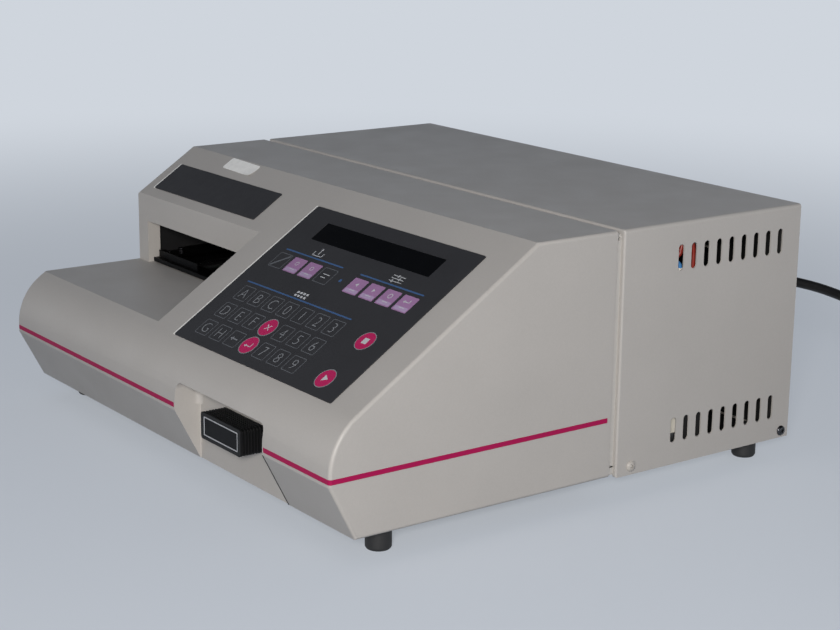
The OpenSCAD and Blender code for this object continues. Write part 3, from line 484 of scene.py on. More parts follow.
def smoked_acrylic(tree, coords, _):
    """Cast acrylic, polished and nearly opaque, with faint wipe marks in its gloss."""
    tone = clouds(tree, coords, 20, 2, 0.8, 1.2)[1]
    along = add(tree, "ShaderNodeMapping", {"Vector": coords, "Scale": (0.15, 1, 1)})
    wipes = clouds(tree, along.outputs["Vector"], 3, 4, 0.04, 0.12)[1]
    return tone, FLAT, {"Roughness": wipes, "IOR": 1.49}


def optical_glass(tree, coords, _, rough=0.02):
    """Clear or coated glass, with a coating that varies very slightly."""
    coating = clouds(tree, coords, 10, 2, 0.97, 1.0)[1]
    return coating, FLAT, {"Transmission Weight": 0.9, "Roughness": rough, "IOR": 1.52}


def board_laminate(tree, coords, colour):
    """Glass-epoxy circuit board with solder resist over a grid of copper tracks."""
    darker, track = [(*[c * share for c in colour], 1) for share in (0.8, 1.9)]
    tracks = add(tree, "ShaderNodeTexBrick", {
        "Vector": coords, "Scale": 1.0, "Mortar Size": 0.25 * MM, "Brick Width": 9 * MM,
        "Row Height": 1.3 * MM, "Color1": (*colour, 1), "Color2": darker, "Mortar": track}).outputs
    gloss = clouds(tree, coords, 5, 2, 0.28, 0.4)[1]
    return tracks["Color"], (tracks["Fac"], 0.02), {"Roughness": gloss, "IOR": 1.55}


def label_paper(tree, coords, _):
    """Coated label paper with faint fibres and handling marks."""
    marks = clouds(tree, coords, 4, 5, 0.93, 1.02)[1]
    fibres = add(tree, "ShaderNodeTexNoise", {"Vector": coords, "Scale": 1 / (0.5 * MM), "Detail": 3})
    return marks, (fibres.outputs["Fac"], 0.02), {"Roughness": 0.55, "IOR": 1.5}


DRAWN = (1, 0.02, 1)                        # squeezes a grain into lines from front to back
CHOSEN = None                               # the colour comes from the sidebar's setting of this name
FINISHES = {                                # pattern, material name, colour and the pattern's settings
    # Structural foam with a spark-eroded grain: reads as even satin with a soft sparkle and faint rubs
    "housing": (moulded, "textured_putty_plastic", CHOSEN, 1.1, 0.46, 0.035, 0.02),
    # Enamel sprayed on steel to match the plastic: a shade yellower, glossier, with orange peel
    "paint": (moulded, "sprayed_putty_enamel", "#B3AEA7", 2.2, 0.4, 0.02),
    # The arch's enamel, painted lighter than the other paint so that the shade in the narrow channel over it
    # does not read as a dark gap: painted light
    "arch": (moulded, "sprayed_pale_enamel", "#BCB9B4", 2.2, 0.4, 0.02),
    # Extruded inlay strip, smooth and solid in colour: a clean satin line with a thin highlight
    "stripe": (moulded, "magenta_inlay_plastic", CHOSEN, 1.5, 0.48, 0.008, 0.0, 0.2),
    # Polished smoked sheet: black in itself, with sharp reflections and faint wipe marks
    "acrylic": (smoked_acrylic, "smoked_acrylic", "#060608"),
    # Black ABS with a spark-eroded grain: dark, with a broad soft sheen on its ribs
    "abs_black": (moulded, "black_textured_abs", "#0C0C0D", 0.7, 0.52, 0.03, 0.0, 0.3),
    # Foot rubber: dead matt, with a greyish bloom
    "rubber": (rubber, "black_foot_rubber", "#19191A", 0.62),
    # Soft PVC of the cord and its mouldings: smoother and a little glossier than the feet
    "pvc": (rubber, "black_pvc_cord", "#141416", 0.5),
    # Hook-and-loop webbing: fuzzy and the dullest of the blacks, its weave drawn 1 mm coarse to show
    "strap": (rubber, "woven_nylon_strap", "#202023", 0.75, 1.0),
    # Flat, lightless black sheet that hides the inside behind the vents: painted shade where the vents look
    # in
    "fibre": (rubber, "black_fibre_sheet", "#0E0E0F", 0.8, 1.0),
    # Natural nylon of ties and sleeves: milky white, softly glossy
    "nylon": (moulded, "natural_nylon", "#DCD8CC", 1.2, 0.42, 0.01),
    # PVC wire insulation, extruded smooth: saturated colour with a soft highlight
    "wire_red": (moulded, "red_wire_insulation", "#842518", 1.0, 0.4, 0.01),
    "wire_blue": (moulded, "blue_wire_insulation", "#4580B8", 1.0, 0.4, 0.01),
    # Glass-filled nylon of the connectors: dark blue, fine satin grain
    "socket": (moulded, "dark_blue_connector_plastic", "#22304A", 0.9, 0.45, 0.02),
    # Green solder resist over copper tracks: glossy green with fine paler lines
    "board": (board_laminate, "green_board_laminate", "#1F5B38"),
    # Anti-reflection coated lens glass: clear with a faint cool tint
    "glass": (optical_glass, "coated_lens_glass", "#E4EEF2"),
    # Interference filter glass: transparent, violet by reflection
    "filter": (optical_glass, "violet_filter_glass", "#8E63A8", 0.04),
    # Velvet-finished overlay film printed from behind: deep charcoal that never turns glossy
    "film": (printed_film, "charcoal_polyester_film", CHOSEN),
    # Opaque key inks under the same film: flat, even fields with the film's own fine texture
    "mauve": (printed_film, "mauve_screen_ink", CHOSEN),
    "magenta": (printed_film, "magenta_screen_ink", CHOSEN),
    "bars": (printed_film, "blue_screen_ink", CHOSEN),
    "band": (printed_film, "pale_mauve_screen_ink", "#B099BB"),
    # Thin-line inks: they read as dim strokes because the charcoal shows through them
    "legend": (printed_film, "light_grey_screen_ink", CHOSEN),
    "outline": (printed_film, "mid_grey_screen_ink", "#63666B"),
    # Opaque white ink of the headings' signs: the brightest print on the films
    "sign": (printed_film, "white_screen_ink", "#C4C6C9"),
    # Silver ink of the cartridge's border: slightly brighter than the legends, still matt
    "rim": (printed_film, "silver_screen_ink", "#B4B6BA"),
    # Flood-coated black film of the cartridge's label: flat black, nearly without sheen
    "label_black": (printed_film, "black_label_film", "#0C0D10", 0.6, 0.2),
    # White ink of the rocker's signs. On the strips along the films' left edges the same white is a painted
    # highlight, the light those edges catch
    "backing": (printed_film, "white_backing_film", "#F2F0EA", 0.3),
    # Coated label stock: white, with faint handling marks
    "paper": (label_paper, "white_label_paper", "#FBFAF5"),
    # Bright zinc plating on sheet steel: pale metal broken up into faint crystals
    "zinc": (plated_spangle, "zinc_plated_sheet", "#BCBDBC"),
    # Machine-screw steel, plated: bright, slightly blurred highlights
    "steel_screw": (metal, "zinc_plated_screw", "#A9AAAC", 0.34),
    # Oil-blackened steel: a dark metal with a tight highlight
    "dark_screw": (metal, "blackened_steel_screw", "#4C4D50", 0.26),
    "blackened": (metal, "oil_blackened_steel", "#232325", 0.4),
    # Tin plate on drawn steel shells: soft bright metal
    "tin": (metal, "tinned_steel_shell", "#C4C5C6", 0.28),
    # Nickel over brass contacts: warm, quite sharp highlights
    "brass": (metal, "nickel_plated_brass", "#C9C3B4", 0.24),
    # Stacked transformer laminations: dull steel with lines 0.5 mm apart
    "laminated": (metal, "laminated_core_steel", "#8E8F90", 0.42, 0.5, (0.02, 1, 1)),
    # Centreless-ground bar: near mirror, with hair lines along it
    "ground": (metal, "ground_steel_rod", "#C9CACC", 0.2, 0.3, DRAWN),
    # Clear and black anodising over drawn aluminium: silky metal with fine lines
    "anodised": (metal, "clear_anodised_aluminium", "#C3C5C8", 0.38, 0.4, DRAWN),
    "anodised_black": (metal, "black_anodised_aluminium", "#131314", 0.5, 0.4, DRAWN),
    # Stoved black enamel of the motors: matt, slightly pebbled, swallows light. On the hood round the plate
    # chamber the same black is painted shade that keeps the slot dark
    "motor": (moulded, "black_stoved_enamel", "#151516", 1.4, 0.5, 0.02),
}
FINISH_OF_SLOT = {
    "housing_plastic": "housing", "frame_paint": "paint", "stripe_magenta": "stripe", "zinc_steel": "zinc",
    "feet_rubber": "rubber", "screw_steel": "steel_screw", "keypad_film": "film",
    "window_acrylic": "acrylic", "circuit_board": "board", "black_moulding": "abs_black",
    "label_rim": "legend", "socket_blue": "socket", "black_anodised": "anodised_black",
    "clear_anodised": "anodised", "ground_steel": "ground", "motor_black": "motor",
    "optical_glass": "glass", "filter_glass": "filter", "lead_red": "wire_red", "lead_blue": "wire_blue",
    "connector_steel": "tin", "cord_pvc": "pvc"}
FINISH = {}                                 # materials by name, filled by the finishes operator


def colour_setting(name, description, code):
    return bpy.props.FloatVectorProperty(name=name, description=description, subtype="COLOR",
                                         default=linear(code))


def length_setting(name, description, millimetres):
    return bpy.props.FloatProperty(name=name, description=description, default=millimetres * MM,
                                   unit="LENGTH")


def angle_setting(name, description, degrees):
    return bpy.props.FloatProperty(name=name, description=description, default=math.radians(degrees),
                                   subtype="ANGLE")


class ReaderFinishes(bpy.types.PropertyGroup):
    """Colours of the finishes"""
    housing: colour_setting("Housing", "Moulded housings and rear cover", "#B2AEA9")
    stripe: colour_setting("Stripe", "Magenta inlay round the housing", "#A2104C")
    film: colour_setting("Film", "Charcoal film of the keypad and name plate", "#313134")
    mauve: colour_setting("Mauve keys", "Ink of the filled square keys", "#A179A3")
    magenta: colour_setting("Round keys", "Ink of the round keys", "#B81C5A")
    bars: colour_setting("Bars", "Ink of the lines under the headings", "#3F5F8C")
    legend: colour_setting("Legends", "Ink of figures, signs and outlines", "#85888C")


class READER_OT_finishes(bpy.types.Operator):
    """Make the reader's materials and give every CAD part its finish"""
    bl_idname = "reader.finishes"
    bl_label = "Finishes"

    def execute(self, context):
        for key, (pattern, name, code, *settings) in FINISHES.items():
            colour = getattr(context.scene.reader_finishes, key) if code is CHOSEN else linear(code)
            FINISH[key] = made_of(pattern, name, colour, *settings)
        for part in frame["record"]["subparts"]:
            mesh = frame["nodes"][part["node"]].data
            mesh.materials.clear()
            mesh.materials.append(FINISH[FINISH_OF_SLOT[part["material_slot"]]])
        return {"FINISHED"}


# ---------------------------------------------------------------- stage

SENSOR = 36                                 # sensor width, mm
CAMERA_AT = (1.025, FRONT_Y - 0.5403, 0.4042)
AIM = Vector((0, 0, 0.08))                  # the lamps look at the middle of the body
LAMPS = [                                   # name, place, width, height, watts, colour
    ("key_softbox", (1.33, -1.05, 0.60), 0.32, 0.27, 24, (1.0, 0.965, 0.93)),
    ("front_fill", (0.6, -1.6, 0.42), 0.9, 0.6, 1, (1, 1, 1)),
    ("left_fill", (-1.5, -1.4, 0.36), 1.2, 0.6, 1.2, (1, 1, 1)),
    ("right_fill", (1.9, 1.0, 0.36), 1.0, 0.6, 2, (1, 1, 1)),
    ("rear_fill", (-0.5, 2.1, 0.36), 1.4, 0.6, 8, (1, 1, 1))]


class ReaderStage(bpy.types.PropertyGroup):
    """Camera and light"""
    lens: bpy.props.FloatProperty(name="Lens", description="Focal length on a 36 mm sensor", default=80.14,
                                  unit="CAMERA")
    azimuth: angle_setting("Azimuth", "Camera direction round the object", 53.751)
    elevation: angle_setting("Elevation", "Camera height above the horizon", 14.469)
    roll: angle_setting("Roll", "Camera roll", 0.701)
    floor: colour_setting("Floor", "Colour of the floor", "#CFD5DD")


def seen_directly(tree):
    """1 for what the camera sees, straight, mirrored or through glass, and 0 for bounced light."""
    path = add(tree, "ShaderNodeLightPath").outputs
    seen = path["Is Camera Ray"]
    for other in ("Is Glossy Ray", "Is Transmission Ray"):
        seen = add(tree, "ShaderNodeMath", {0: seen, 1: path[other]}, operation="MAXIMUM").outputs["Value"]
    return seen


class READER_OT_stage(bpy.types.Operator):
    """Add the camera, the soft studio light and the pale floor"""
    bl_idname = "reader.stage"
    bl_label = "Stage"

    def execute(self, context):
        stage = context.scene.reader_stage
        self.camera(context.scene, stage)
        for lamp in LAMPS:
            self.light(*lamp)
        self.floor(stage)
        self.world(context.scene, stage)
        context.scene.view_settings.view_transform = "Standard"
        return {"FINISHED"}

    def camera(self, scene, stage):
        a, e, r = stage.azimuth, stage.elevation, stage.roll
        back = Vector((math.sin(a) * math.cos(e), -math.cos(a) * math.cos(e), math.sin(e)))
        level = Vector((math.cos(a), math.sin(a), 0))
        upright = back.cross(level)
        right = math.cos(r) * level + math.sin(r) * upright
        up = math.cos(r) * upright - math.sin(r) * level
        bpy.ops.object.camera_add()
        camera = bpy.context.object
        camera.name = "reader_camera"
        turn = Matrix((right, up, back)).transposed().to_4x4()
        camera.matrix_world = Matrix.Translation(CAMERA_AT) @ turn
        camera.data.sensor_width = SENSOR
        camera.data.lens = stage.lens
        camera.data.clip_start = 0.05
        scene.camera = camera

    def light(self, name, place, width, height, power, colour):
        bpy.ops.object.light_add(type="AREA", location=place)
        lamp = bpy.context.object
        lamp.name = name
        lamp.rotation_mode = "QUATERNION"
        lamp.rotation_quaternion = (AIM - Vector(place)).to_track_quat("-Z", "Y")
        lamp.data.shape = "RECTANGLE"
        lamp.data.size, lamp.data.size_y = width, height
        lamp.data.energy = power
        lamp.data.color = colour

    def floor(self, stage):
        bpy.ops.mesh.primitive_plane_add(size=12)
        floor = named(bpy.context.object, "studio_floor")
        # Seamless background paper: matt and even, and fading into the backdrop far from the object
        material, tree, coords = new_material("pale_background_paper")
        paper_rgba = (*stage.floor, 1)
        _, tone = clouds(tree, coords, 400, 3, 0.985, 1.01)
        tint = add(tree, "ShaderNodeHueSaturation", {"Color": paper_rgba, "Value": tone})
        seen = seen_directly(tree)
        # What the floor bounces back up is deeper in tone, as from a covered bench
        bounced = add(tree, "ShaderNodeMix", {"Factor": seen, 6: (*linear("#7C8796"), 1),
                                              7: tint.outputs["Color"]}, data_type="RGBA").outputs[2]
        paper = add(tree, "ShaderNodeBsdfPrincipled", {"Base Color": bounced, "Roughness": 1.0,
                                                       "Specular IOR Level": 0.0})
        away = add(tree, "ShaderNodeVectorMath", {0: coords}, operation="LENGTH")
        far = add(tree, "ShaderNodeMapRange", {"Value": away.outputs["Value"], "From Min": 0.45,
                                               "From Max": 1.6, "To Min": 0.45, "To Max": 1.0},
                  interpolation_type="SMOOTHSTEP")
        share = add(tree, "ShaderNodeMath", {0: seen, 1: far.outputs["Result"]}, operation="MULTIPLY")
        glow = add(tree, "ShaderNodeEmission", {"Color": paper_rgba, "Strength": 1.0})
        mixed = add(tree, "ShaderNodeMixShader", {"Fac": share.outputs["Value"], 1: paper.outputs["BSDF"],
                                                  2: glow.outputs["Emission"]})
        add(tree, "ShaderNodeOutputMaterial", {"Surface": mixed.outputs["Shader"]})
        floor.data.materials.append(material)

    def world(self, scene, stage):
        """Even cool light, and a dome for what sees it: the floor's colour low down, darker overhead."""
        scene.world = bpy.data.worlds.new("studio_world")
        scene.world.use_nodes = True
        tree = scene.world.node_tree
        tree.nodes.clear()
        light = add(tree, "ShaderNodeBackground", {"Color": (0.74, 0.88, 1.12, 1), "Strength": 0.16})
        direction = add(tree, "ShaderNodeTexCoord").outputs["Generated"]
        height = add(tree, "ShaderNodeSeparateXYZ", {"Vector": direction}).outputs["Z"]
        overhead = add(tree, "ShaderNodeMapRange", {"Value": height, "From Min": 0.05, "From Max": 0.6},
                       interpolation_type="SMOOTHSTEP").outputs["Result"]
        dome = add(tree, "ShaderNodeMix", {"Factor": overhead, 6: (*stage.floor, 1),
                                           7: (*linear("#2A2D31"), 1)}, data_type="RGBA").outputs[2]
        shown = add(tree, "ShaderNodeBackground", {"Color": dome, "Strength": 1.0})
        mixed = add(tree, "ShaderNodeMixShader", {"Fac": seen_directly(tree), 1: light.outputs[0],
                                                  2: shown.outputs[0]})
        add(tree, "ShaderNodeOutputWorld", {"Surface": mixed.outputs[0]})


# ---------------------------------------------------------------- mains cord

class ReaderCord(bpy.types.PropertyGroup):
    """Mains cord"""
    diameter: length_setting("Diameter", "Diameter of the cord", 7)
    coil_radius: length_setting("Coil radius", "Radius at the middle of the turns", 38.5)


CORD_ROUTE = [                              # from the strain relief to the coil, mm behind the front face
    (125, 408, 100), (125.7, 417, 100), (129.2, 425.6, 99.8), (134.3, 431.9, 99.4), (140.4, 436.2, 99),
    (148, 439, 98.4), (157, 440.4, 98), (172, 441, 97), (188, 441, 95), (204, 441, 90), (219, 441, 80),
    (231, 441, 66), (241, 441, 50), (251, 441, 34), (262, 441, 20), (275, 441, 10), (289, 441, 5),
    (302, 441, 4)]
TAIL_ROUTE = [(302, 524, 17), (291, 525, 13), (279, 525, 9.4), (266.3, 525, 9)]
COIL_CENTRE = (324, 482.5, 0)
POINTS_PER_TURN = 24


def cord_line(radius, diameter):
    """Centreline of the whole cord: the route, the coil's turns layer on layer, and the tail."""
    centre = from_front(COIL_CENTRE)
    inner, outer = radius - diameter / 2, radius + diameter / 2
    lows = [diameter * (0.5 + layer) for layer in range(3)]
    turns = [(outer, lows[0]), (inner, lows[0]), (inner, lows[1]), (outer, lows[1]), (outer, lows[2])]
    coil = []
    for k in range(len(turns) * POINTS_PER_TURN + POINTS_PER_TURN // 2 + 1):
        turn, step = divmod(k, POINTS_PER_TURN)
        here, ahead = (turns[min(i, len(turns) - 1)] for i in (turn, turn + 1))
        # The cord changes place in a turn's last quarter
        share = max(0.0, (step / POINTS_PER_TURN - 0.75) * 4)
        share = share * share * (3 - 2 * share)
        r, z = (a + (b - a) * share for a, b in zip(here, ahead))
        angle = -QUARTER + math.tau * k / POINTS_PER_TURN
        coil.append(centre + Vector((r * math.cos(angle), r * math.sin(angle), z)))
    return [from_front(p) for p in CORD_ROUTE] + coil + [from_front(p) for p in TAIL_ROUTE]


def strain_relief(wide, narrow, length):
    """Tapered strain relief along Z in millimetres, with a groove after each of its rings."""
    rings = max(3, round(length / 3))
    step = length / rings
    points = [(0, 0), (wide, 0)]
    for i in range(rings):
        r = wide + (narrow - wide) * (i + 0.5) / rings
        points += [(r, (i + 0.35) * step), (r - 0.9, (i + 0.5) * step), (r - 0.9, (i + 0.85) * step)]
    points += [(narrow, length), (0, length)]
    return spun("relief", points)


class READER_OT_cord(bpy.types.Operator):
    """Lay the mains cord from the rear inlet to its coil and plug"""
    bl_idname = "reader.cord"
    bl_label = "Mains cord"

    def execute(self, context):
        sizes = context.scene.reader_cord
        line = cord_line(sizes.coil_radius, sizes.diameter)
        cord = curve_through("mains_cord", line, sizes.diameter / MM / 2, 4, 3)
        cord.data.materials.append(FINISH["pvc"])
        self.connector()
        self.plug()
        self.tie(sizes)
        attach(cord, "root")
        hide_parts("power_cord", "cord_coil")
        return {"FINISHED"}

    def connector(self):
        """Moulded appliance connector: soft-edged body, thumb rib, and a ribbed, tapered strain relief."""
        body = round_edges(merged_copy("inlet_connector", "cord_connector"), 0.9, 3)
        relief = moved(strain_relief(7.3, 4.3, 23.8), at(from_front((125, 384, 100)), -QUARTER, "X"))
        parts = [body, relief]
        for i in range(4):
            y = 366.5 + 3.2 * i
            parts.append(round_edges(block("grip", (111, y, 94), (139, y + 1.4, 106)), 0.5))
        finish(smooth(joined("inlet_connector", parts)), "pvc", node="cord_connector")

    def plug(self):
        """Moulded mains plug lying flat: soft body with finger ridges, two flat blades and a round pin."""
        x, y, z = TAIL_ROUTE[-1]
        x -= 0.3
        body = block("plug_body", (x - 44, y - 12.8, 0.2), (x - 15, y + 12.8, 17.8))
        with Editing(body, "DESELECT") as mesh:
            select_where(body, mesh, "FACE", lambda face: face.normal.x > 0.9)
            bpy.ops.transform.resize(value=(1, 0.72, 0.86), center_override=from_front((x - 15, y, 9)))
        relief = moved(strain_relief(7.8, 4.4, 15.8), at(from_front((x - 16, y, z)), QUARTER, "Y"))
        parts = [round_edges(body, 3.2, 4), relief]
        for i in range(5):
            left = x - 40 + 3.6 * i
            parts.append(round_edges(block("ridge", (left, y - 7.5, 0.6), (left + 1.6, y + 7.5, 18)), 0.6))
        finish(smooth(joined("moulded_plug", parts)), "pvc", node="mains_plug")
        blades = [round_edges(block("blade", (x - 62, middle - 0.75, 7), (x - 43, middle + 0.75, 13)), 0.5)
                  for middle in (y - 6.3, y + 6.3)]
        pin = spun("earth_pin", [(0, 0), (1.2, 0), (2.3, 1.6), (2.3, 21), (0, 21)], 24)
        blades.append(moved(pin, at(from_front((x - 64, y, 4.2)), QUARTER, "Y")))
        finish(smooth(joined("plug_blades", blades)), "brass")

    def tie(self, sizes):
        """Hook-and-loop strap round the coiled turns, with its loose end lapped over."""
        x, y, _ = COIL_CENTRE
        x += sizes.coil_radius / MM
        thick = sizes.diameter / MM
        strap = rounded_plate("cord_tie", 2 * thick + 2.4, 3 * thick + 1.8, 9, 2.6, line=1.1)
        moved(strap, at(from_front((x, y + 4.5, 1.5 * thick + 0.9)), QUARTER, "X"))
        lap = moved(rounded_plate("lap", 12, 9, 1, 1.5), at(from_front((x + 2, y, 3 * thick + 1.7))))
        finish(soften(joined("cord_tie", [strap, lap]), 0.25, 1), "strap")


# ---------------------------------------------------------------- housings

RECESS_SIDES = (28.5 * MM, 133.5 * MM)      # finger recess: its sides, its back and where its arch starts
RECESS_BACK_Y = FRONT_Y + 18.5 * MM
RECESS_ARCH_Z = 64 * MM
LOWER_FRONT = (18 * MM, 34.5 * MM)          # how far the lower front leans back, over this height
BASE_Z = 16 * MM                            # lowest edge of the housings
TINY = 0.1 * MM                             # what is nearer than this to a plane lies in it
BAY_R = 5                                   # soft outer edges of the deck and its walls, mm
WALL_TOP_R = 7.5                            # the edge over the plate slot is rounder


def middle_of(edge):
    return (edge.verts[0].co + edge.verts[1].co) / 2


def near(a, b):
    return abs(a - b) < TINY


def is_corner(edge):
    """True where two faces meet at a clear angle."""
    return len(edge.link_faces) == 2 and edge.calc_face_angle(0) > math.radians(20)


def bay_radius(edge):
    """Radius of the bay's outer edges: deck front and side, wall end and top, and side of the console."""
    middle = middle_of(edge)
    in_bay = middle.x < BAY_RIGHT + TINY and SLOPE_FOOT_Y - TINY < middle.y < BAY_BACK_Y + TINY
    if not is_corner(edge) or not in_bay or middle.z < DECK_Z - TINY:
        return 0
    along = edge.verts[1].co - edge.verts[0].co
    on_slope = near((ON_SLOPE.inverted() @ middle).z, 0)
    on_deck, at_back, at_side = near(middle.z, DECK_Z), near(middle.y, BAY_BACK_Y), near(middle.x, -SIDE_X)
    if at_back and on_slope and abs(along.x) > TINY:
        return WALL_TOP_R
    deck_front = on_deck and near(middle.y, SLOPE_FOOT_Y)
    console_side = near(middle.x, BAY_RIGHT) and on_slope
    return BAY_R if deck_front or at_side and (on_deck or at_back) or console_side else 0


def recess_corner(edge):
    """Inner corners all round the back wall of the finger recess."""
    middle = middle_of(edge)
    at_side = min(abs(middle.x - side) for side in RECESS_SIDES) < TINY
    in_arch = RECESS_SIDES[0] < middle.x < RECESS_SIDES[1] and middle.z > RECESS_ARCH_Z - TINY
    return is_corner(edge) and near(middle.y, RECESS_BACK_Y) and (at_side or in_arch)


class READER_OT_housings(bpy.types.Operator):
    """Model the front and lower housings, the rear cover and the stripe with their moulded edges"""
    bl_idname = "reader.housings"
    bl_label = "Housings"

    def execute(self, context):
        upper = merged_copy("upper_housing", "front_housing")
        round_by(upper, bay_radius, WALL_TOP_R, 6)
        lower = merged_copy("lower_tray", "lower_housing")
        for piece, node in ((upper, "front_housing"), (lower, "lower_housing")):
            bevel_where(piece, recess_corner, 4, 5)
            finish(smooth(round_edges(piece, 0.45, 2, 32), 25), "housing", node=node)
        self.cover()
        soften_nodes([("magenta_stripe", "accent_stripe", "stripe", 0.15, 1, 32)])
        self.arch()
        self.recess_seal()
        return {"FINISHED"}

    def cover(self):
        """Rear cover with its vents opened to their full width and a soft edge towards the channel."""
        cover = merged_copy("vented_cover", "rear_cover")
        across = Matrix(((0, 0, 1, 0), (1, 0, 0, 0), (0, 1, 0, 0), (0, 0, 0, 1)))
        slot = rounded_plate("slot", 4.8, 16.7, 2 * SIDE_X / MM + 4, 2.39, 6)
        places = [Matrix.Translation((-SIDE_X - 2 * MM, FRONT_Y + (350 - 11 * i) * MM, z * MM)) @ across
                  for i in range(9) for z in (37.4, 150.1)]
        cut(cover, joined("slots", copies(slot, places)))
        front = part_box("rear_cover")[0].y

        def channel_edge(edge):
            middle = middle_of(edge)
            outer = middle.z > 171.5 * MM or abs(middle.x) > SIDE_X - 1.5 * MM
            return outer and is_corner(edge) and all(near(v.co.y, front) for v in edge.verts)

        bevel_where(cover, channel_edge, 1.4, 3)
        finish(soften(cover, 0.3, 2, 32), "housing", node="rear_cover")

    def arch(self):
        """Painted arch in the channel between the housings and the cover, with its two feet."""
        low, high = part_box("bulkhead_frame")
        parts = [merged_copy("steel_arch", "bulkhead_frame")]
        for x in (low.x, high.x - 2.5 * MM):
            parts.append(box_piece("foot", (x, low.y, BASE_Z + 0.3 * MM),
                                   (x + 2.5 * MM, high.y, low.z + 1 * MM)))
        piece = joined("steel_arch", parts)
        bpy.ops.mesh.primitive_cylinder_add(vertices=24, radius=1.15 * MM, depth=2 * SIDE_X)
        cut(piece, moved(bpy.context.object, at(from_front((0, 212.3, 167.4)), QUARTER, "Y")))
        # The arch's paler enamel is painted light that lifts the shade in the channel
        finish(soften(piece, 0.3, 2, 32), "arch", node="bulkhead_frame")

    def recess_seal(self):
        """Thin black bead down the right side of the recess, on the set-back lower front: a painted shadow
        line along that edge.
        """
        bead = box_piece("recess_seal", (0, 0, -0.6 * MM), (1 * MM, math.hypot(*LOWER_FRONT), 0.25 * MM))
        lean = math.atan2(LOWER_FRONT[1], LOWER_FRONT[0])
        place = (RECESS_SIDES[1] + 0.1 * MM, FRONT_Y + LOWER_FRONT[0], BASE_Z)
        moved(round_edges(bead, 0.2), at(place, math.pi - lean, "X"))
        finish(smooth(bead), "rubber")


# ---------------------------------------------------------------- keypad

class ReaderKeypad(bpy.types.PropertyGroup):
    """Keypad print"""
    key: length_setting("Key", "Width and height of a data key", 13.4)
    line: length_setting("Outline", "Line width of a key's outline", 0.45)
    round_key: length_setting("Round key", "Diameter of a round key", 14.6)


# Places on the slope in millimetres: across it from the middle, and up it from its foot
DATA_COLUMNS = [18, 35.2, 52.4, 69.6, 86.8, 104, 121.2]
DATA_ROWS = [43.5, 26.7, 10.0]
DATA_LEGENDS = ["ABC0123", "DEF 456", "GH< 789"]
DATA_KEYS = [(legend, x, y) for y, legends in zip(DATA_ROWS, DATA_LEGENDS)
             for x, legend in zip(DATA_COLUMNS, legends) if legend != " "]
MAUVE_COLUMNS = (34.6, 52, 103.4, 121, 138.4, 155.8)
OUTLINED_COLUMNS = (17, 69.8)               # the outlined keys in the mauve keys' row
MAUVE_ROW = 76.8
BAND_ROW = 72.6
SIGN_ROW = 73.4                             # the short bar low on each mauve key
ROUND_KEYS = [(69.6, 26.7), (69.6, 10.0), (155.7, 43), (155.7, 9.6)]


def print_on_slope(name, parts, finish_name, height=0):
    """Joins flat work, moves it from the XY plane onto the keypad film and finishes it."""
    face = max((ON_SLOPE.inverted() @ v.co).z for v in frame["nodes"]["keypad_overlay"].data.vertices)
    piece = moved(joined(name, parts), ON_SLOPE @ at((0, 0, face + (height - 0.01) * MM)))
    return finish(piece, finish_name)


def shifted(piece, x, y, turn=0.0):
    """Moves flat work in its own plane: x and y in millimetres, after a turn in degrees."""
    return moved(piece, at((x * MM, y * MM, 0), math.radians(turn)))


def pad(x, y, width, height, corner=0.3, segments=2, line=0):
    """Rounded field of print round x and y, or its outline alone."""
    return shifted(rounded_plate("field", width, height, PRINT_T, corner, segments, line), x, y)


def bar(x0, x1, y, width, thickness=PRINT_T):
    """Straight bar across the slope."""
    return shifted(rounded_plate("bar", x1 - x0, width, thickness, 0.1, 2), (x0 + x1) / 2, y)


def arrow_head(x, y, size, turn=0):
    """Small triangle that points up before its turn."""
    bpy.ops.mesh.primitive_cylinder_add(vertices=3, radius=size * MM, depth=PRINT_T * MM)
    return shifted(moved(bpy.context.object, at((0, 0, PRINT_T * MM / 2))), x, y, turn)


def stroke(x0, y0, x1, y1, width=0.6):
    """Short straight line of print."""
    length = math.hypot(x1 - x0, y1 - y0)
    line = rounded_plate("stroke", length + width, width, PRINT_T, 0.25 * width, 2)
    return shifted(line, (x0 + x1) / 2, (y0 + y1) / 2, math.degrees(math.atan2(y1 - y0, x1 - x0)))


